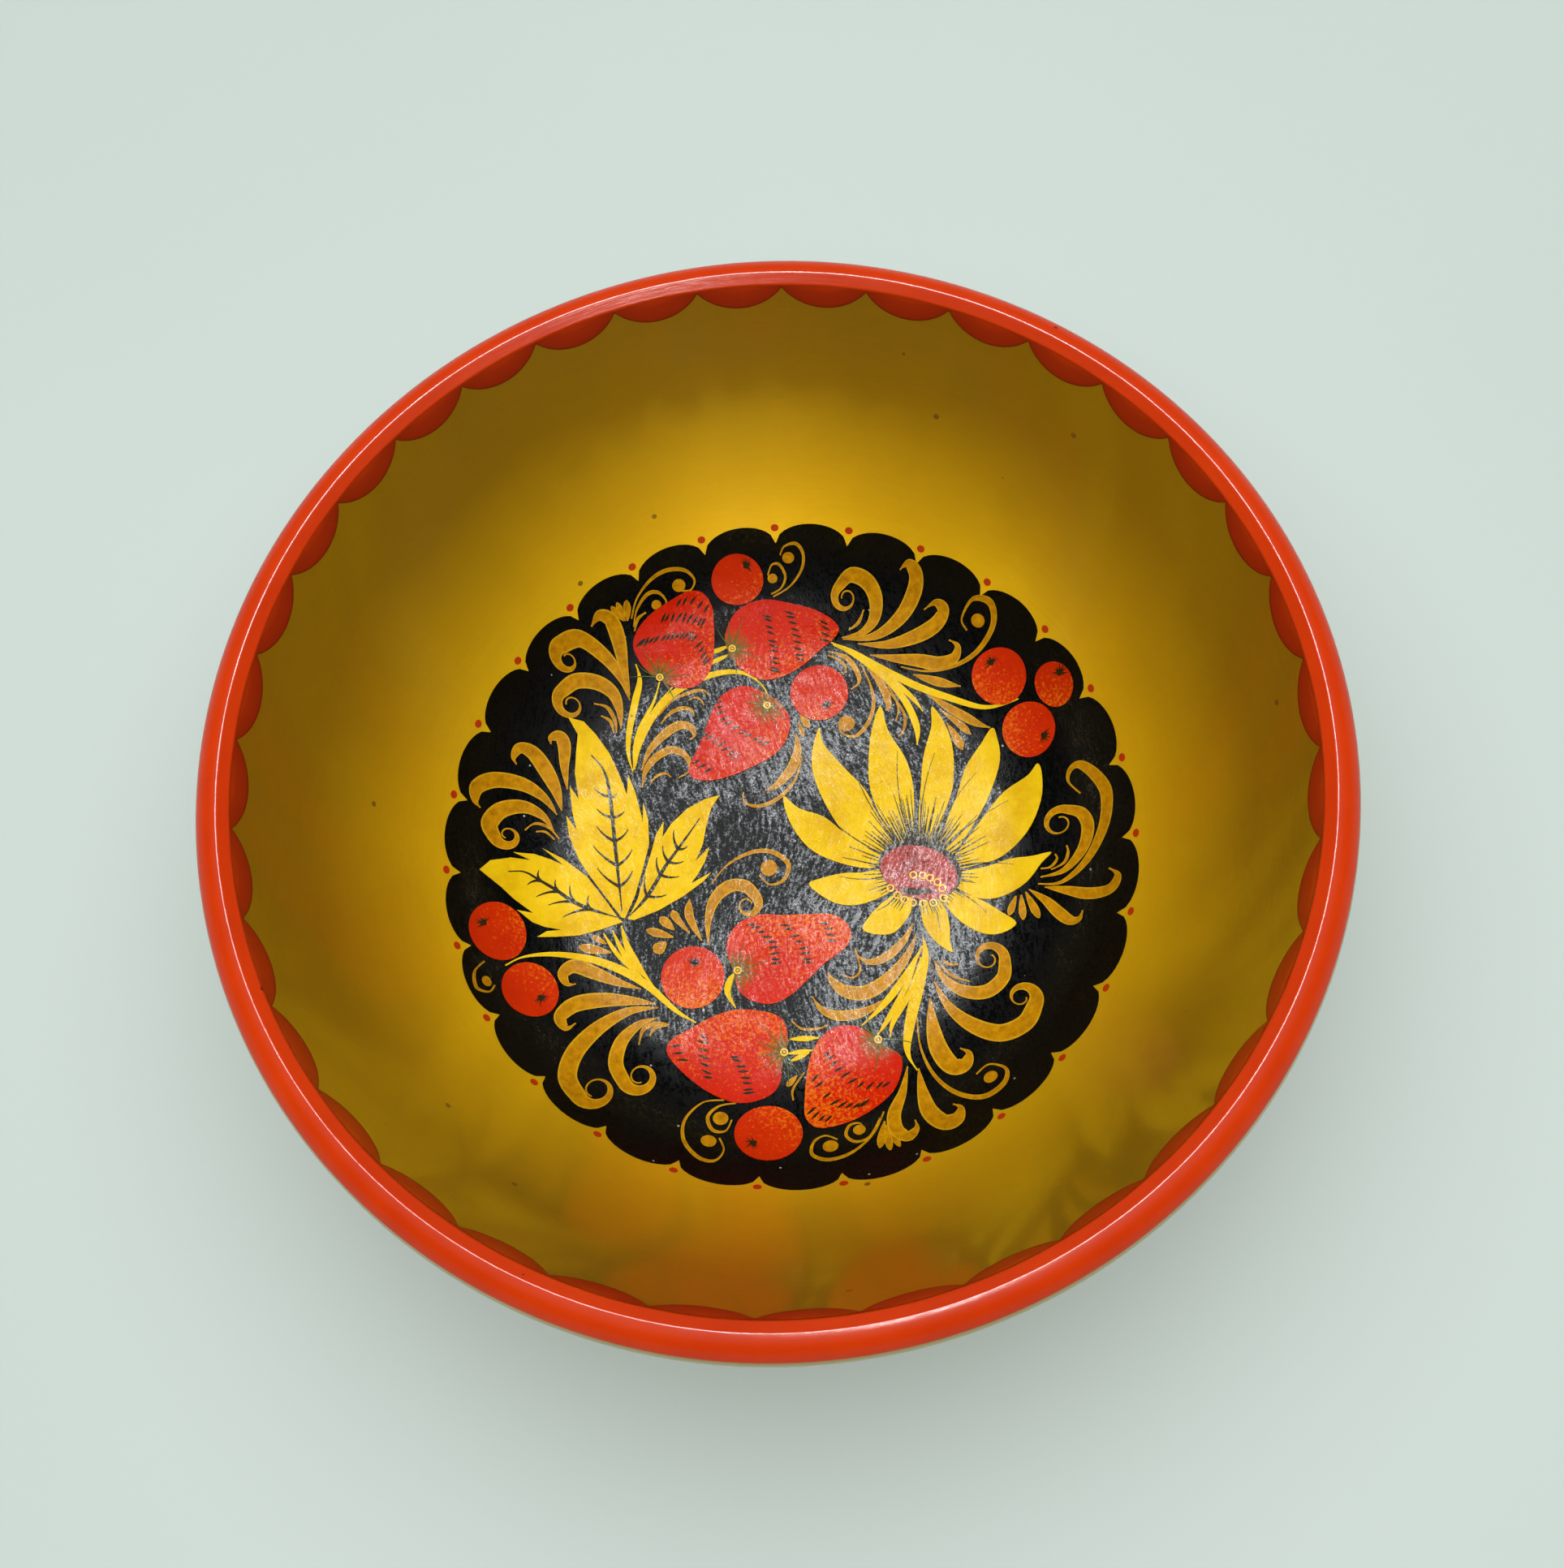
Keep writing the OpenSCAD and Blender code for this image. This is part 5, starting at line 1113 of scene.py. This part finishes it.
def paint_fruit(rng):
    straw, sepals, buttons = paint_strawberries(rng)
    seeds = paint_seeds(rng)
    berries, eyes = Paint(), Paint()
    for (c, r, eye), (lit, extra) in zip(BERRIES, BERRY_LIT):
        berries.patch(spot_outline(c, r, 64), FRUIT, step=1.4, tone=towards(c, lit, r, extra), along=1.0)
        away = heading(eye, c)
        for i in range(EYE_HAIRS):
            way = away + 180 + (i - (EYE_HAIRS - 1) / 2) * EYE_FAN + rng.uniform(-6, 6)
            eyes.fine_line(eye, add(eye, polar(EYE_R * rng.uniform(0.9, 1.5), way)), 0.5, DETAIL, FRUIT)
        eyes.patch(spot_outline(eye, EYE_HEART, 12), DETAIL, step=0.6, under=FRUIT)
    return [(straw, "strawberries"), (seeds, "strawberry_seeds"), (sepals, "strawberry_sepals"),
            (buttons, "strawberry_buttons"), (berries, "berries"), (eyes, "berry_eyes")]


def paint_leaf():
    lobes, veins = Paint(), Paint()
    for k, lobe in enumerate(LEAF_LOBES):
        lobes.patch(lobe, LEAF + 0.01 * k, step=1.8, tone=k / 2)
    for rib in LEAF_RIBS:
        veins.ribbon(smooth(rib, 8), lambda t: max(0.3, 1.0 * swell(t, 0.25, 0.8)), DETAIL, LEAF, lanes=2)
    for fork, left, right in LEAF_SIDE_VEINS:
        veins.fine_line(fork, left, 0.9, DETAIL, LEAF, bow=0.5)
        veins.fine_line(fork, right, 0.9, DETAIL, LEAF, bow=-0.5)
    return [(lobes, "leaf_lobes"), (veins, "leaf_veins")]


FLOWER_C = (35.3, -10.8)
FLOWER_SIZE = (10.6, 7.4)
FLOWER_TURN = -25
HALO, HALO_SHIFT = 0.78, (0.5, 0.8)     # the dark ring round its centre, and how it lies off it
RING_R, RING_LINE = 0.9, 0.45
PETAL_HAIRS, HAIR_FAN = 9, 5.2
HEART_FOLD = [(29.5, -14.5), (33, -15), (37.5, -16), (38.5, -16.8), (35, -17), (31.5, -16.5)]


def flower_oval(grow):
    """The oval of the flower's centre, that much larger all round."""
    oval = []
    steps = 48
    for i in range(steps):
        c, s = polar(1, i * 360 / steps)
        x, y = (FLOWER_SIZE[0] + grow) * c, (FLOWER_SIZE[1] + grow) * s
        oval.append(add(FLOWER_C, rotated(x, y, math.radians(FLOWER_TURN))))
    return oval


def paint_flower(rng):
    petals, lines, heart, rings = Paint(), Paint(), Paint(), Paint()
    for k, petal in enumerate(PETALS):
        petals.patch(smooth(petal, 4, closed=True), LEAF + 0.004 * k, step=1.8)
        way, far = heading(FLOWER_C, petal[0]), gap(FLOWER_C, petal[0])
        start = add(FLOWER_C, polar(8, way))
        lines.fine_line(start, add(FLOWER_C, polar(far * 0.72, way - 3)), 0.42, DETAIL, LEAF, bow=far * 0.03)
        for i in range(PETAL_HAIRS):
            off = i - (PETAL_HAIRS - 1) / 2
            side = way + off * HAIR_FAN + rng.uniform(-1, 1)
            start = add(FLOWER_C, polar(6.5, side))
            end = add(FLOWER_C, polar(max(12.0, far * rng.uniform(0.34, 0.5)), side - off * 0.6))
            lines.fine_line(start, end, 0.55, DETAIL, LEAF)
    halo = [add(p, HALO_SHIFT) for p in flower_oval(HALO)]
    lines.patch(halo, DETAIL + 0.01, step=1.5, under=LEAF)
    heart.patch(flower_oval(0), TOP, step=1.3, under=DETAIL)
    lines.patch(smooth(HEART_FOLD, 4, closed=True), TOP + 0.04, step=0.8, under=TOP)
    for c in FLOWER_RINGS:
        rings.ribbon(little_ring(c, RING_R), lambda t: RING_LINE, TOP + 0.06, TOP, lanes=2)
    return [(petals, "flower_petals"), (lines, "flower_lines"), (heart, "flower_centre"),
            (rings, "flower_rings")]


SPRIGS = {
    "upper_left_scrolls": (UPPER_LEFT, SCROLL), "upper_right_scrolls": (UPPER_RIGHT, SCROLL),
    "right_scrolls": (RIGHT, SCROLL), "lower_right_scrolls": (LOWER_RIGHT, SCROLL),
    "lower_left_scrolls": (LOWER_LEFT, SCROLL), "middle_scrolls": (MIDDLE, SCROLL),
    "rim_curls": (BY_THE_RIM, SCROLL), "yellow_stems": (STEMS, STEM),
}


def paint_strokes():
    painted = []
    for name, (table, lift) in SPRIGS.items():
        paint = Paint()
        for k, s in enumerate(table):
            paint.stroke(s, lift + 0.002 * k)
        painted.append((paint, name))
    dots = Paint()
    for c, r in CURL_DOTS:
        dots.patch(spot_outline(c, r, 24), SCROLL + 0.03, step=0.7)
    return painted + [(dots, "scroll_dots")]


# Every piece that isn't here is in ochre.
SLOTS = {
    "strawberries": "strawberry_red_paint",
    "strawberry_seeds": "black_line_paint",
    "strawberry_sepals": "green_line_paint",
    "strawberry_buttons": "yellow_dot_paint",
    "berries": "berry_red_paint",
    "berry_eyes": "black_line_paint",
    "leaf_lobes": "yellow_gold_paint",
    "leaf_veins": "black_line_paint",
    "flower_petals": "yellow_gold_paint",
    "flower_lines": "black_line_paint",
    "flower_centre": "pink_red_paint",
    "flower_rings": "yellow_dot_paint",
    "yellow_stems": "yellow_gold_paint",
}


def build_bowl():
    rng = random.Random(7)
    looks = {
        "linden_wood": wood_material("linden"),
        "gold_lacquer": gold_material("gold"),
        "red_lacquer": red_material("red_lacquer"),
        "brick_lacquer": brick_material("brick_lacquer"),
        "black_lacquer": black_material("black_lacquer"),
        "yellow_gold_paint": leaf_gold_material("yellow_gold"),
        "ochre_gold_paint": ochre_material("ochre_gold"),
        "pink_red_paint": heart_material("pink_red"),
        "strawberry_red_paint": fruit_material("strawberry_red", (0.34, 0.006, 0.0008),
                                               (0.46, 0.014, 0.001)),
        "berry_red_paint": fruit_material("berry_red", (0.34, 0.010, 0.0008), (0.46, 0.024, 0.001)),
        "yellow_dot_paint": flat_paint("yellow_dots", (0.52, 0.25, 0.01), (0.66, 0.42, 0.04)),
        "green_line_paint": flat_paint("green_lines", (0.03, 0.05, 0.004), (0.09, 0.11, 0.01)),
        "black_line_paint": flat_paint("black_lines", (0.006, 0.004, 0.001), (0.03, 0.02, 0.004)),
    }
    for coat, slot, cad_node in ((inside_coat(), "gold_lacquer", "inside_gold_coat"),
                                 (outside_coat(), "gold_lacquer", "outside_gold_coat"),
                                 (lip_coat(), "red_lacquer", "red_lip_band"),
                                 (scallop_band(), "brick_lacquer", "red_scallop_band"),
                                 (foot_coat(), "brick_lacquer", "foot_band")):
        dress(coat, looks[slot], cad_node)
    ground, dots = medallion()
    dress(ground, looks["black_lacquer"], "medallion_ground")
    dress(dots, looks["brick_lacquer"], "medallion_dots")
    for paint, name in paint_strokes() + paint_leaf() + paint_flower(rng) + paint_fruit(rng):
        slot = SLOTS.get(name, "ochre_gold_paint")
        dress(paint.build("painted_" + name), looks[slot], name)
    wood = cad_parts["turned_wood_body"]
    wood.data.materials.clear()
    wood.data.materials.append(looks["linden_wood"])


# ---- the studio ----


def build_table():
    """A wide pale table. Far from the bowl, where the light gives out, it glows as pale as it is near by."""
    mesh = bpy.data.meshes.new("table")
    half = 1.6 * FAR_TABLE
    corners = [(-half, -half, 0), (half, -half, 0), (half, half, 0), (-half, half, 0)]
    mesh.from_pydata(corners, [], [(0, 1, 2, 3)])
    table = bpy.data.objects.new("table", mesh)
    bpy.context.scene.collection.objects.link(table)
    mat, shader, tree = material("table_top", 0.6)
    cloud = noise(tree, place(tree), 3, 3, 0.5)
    tree.links.new(mix(tree, cloud, (0.44, 0.49, 0.465), (0.47, 0.52, 0.495)), shader.inputs["Base Color"])
    away = node(tree, "ShaderNodeVectorMath", {0: place(tree)}, operation="LENGTH").outputs["Value"]
    unlit = ramp(tree, times(tree, away, 1 / FAR_TABLE), (0.10, 0.0), (0.2, 0.25), (0.3, 0.5),
                 (0.4, 0.7), (0.6, 0.9), (1.0, 1.0))
    shader.inputs["Emission Color"].default_value = (0.56, 0.64, 0.61, 1)
    tree.links.new(unlit, shader.inputs["Emission Strength"])
    mesh.materials.append(mat)


def area_light(name, at, aim, size, power, colour=(1, 1, 1)):
    """A round area light, size across; all in metres and watts."""
    data = bpy.data.lights.new(name, "AREA")
    data.shape = "DISK"
    data.size = size
    data.energy = power
    data.color = colour
    light = bpy.data.objects.new(name, data)
    light.location = at
    light.rotation_euler = (Vector(aim) - Vector(at)).to_track_quat("-Z", "Y").to_euler()
    bpy.context.scene.collection.objects.link(light)
    return light


def build_light():
    """A dim room that is lighter low down, a broad soft light that only brightens, two lamps that glint."""
    world = bpy.data.worlds.new("room")
    bpy.context.scene.world = world
    world.use_nodes = True
    tree = world.node_tree
    way = node(tree, "ShaderNodeTexCoord").outputs["Generated"]
    up = node(tree, "ShaderNodeSeparateXYZ", {0: way}).outputs[2]
    sky = ramp(tree, up, (0.0, (0.60, 0.63, 0.62)), (0.20, (0.48, 0.50, 0.49)),
               (0.40, (0.04, 0.045, 0.045)), (1.0, (0.02, 0.022, 0.022)))
    tree.links.new(sky, tree.nodes["Background"].inputs["Color"])
    soft = area_light("soft_ceiling", (0.0, 0.05, 1.5), (0, 0, 0), 2.4, 50.0, (0.97, 1.0, 0.985))
    soft.visible_glossy = False
    lamp = area_light("ceiling_lamp", (0.02, 0.33, 1.25), (0, 0, 0), 0.24, 30.0, (0.95, 0.98, 1.0))
    lamp.visible_diffuse = False
    flash = area_light("lamp_by_the_camera", (0.03, -0.14, 0.46), (0, 0.02, 0), 0.03, 1.6, (1.0, 0.99, 0.96))
    flash.visible_diffuse = False


CAMERA_AT = (0.0, -115.5, 406.2)
PITCH, YAW, ROLL = 18.92, 0.26, -8.07
FOCAL_WIDTHS = 0.96      # focal length as a part of the picture's width
SENSOR = 36.0


def swung(a, b, angle):
    """Two directions at right angles, each turned by that angle from a towards b."""
    return math.cos(angle) * a + math.sin(angle) * b, math.cos(angle) * b - math.sin(angle) * a


def build_camera():
    """The camera looks down, tipped away from the near side, and a little turned in its own plane."""
    pitch, yaw, roll = (math.radians(a) for a in (PITCH, YAW, ROLL))
    ahead = Vector((0, math.sin(pitch), -math.cos(pitch)))
    up = Vector((0, math.cos(pitch), math.sin(pitch)))
    right = Vector((1, 0, 0))
    ahead, right = swung(ahead, right, yaw)
    right, up = swung(right, up, roll)
    data = bpy.data.cameras.new("camera")
    data.sensor_fit = "HORIZONTAL"
    data.sensor_width = SENSOR
    data.lens = FOCAL_WIDTHS * SENSOR
    data.clip_start = 0.01
    camera = bpy.data.objects.new("camera", data)
    turned_to = Matrix((right, up, -ahead)).transposed().to_4x4()
    camera.matrix_world = Matrix.Translation(Vector(CAMERA_AT) * MM) @ turned_to
    bpy.context.scene.collection.objects.link(camera)
    bpy.context.scene.camera = camera


build_bowl()
build_table()
build_light()
build_camera()
bpy.context.scene.view_settings.view_transform = "Standard"
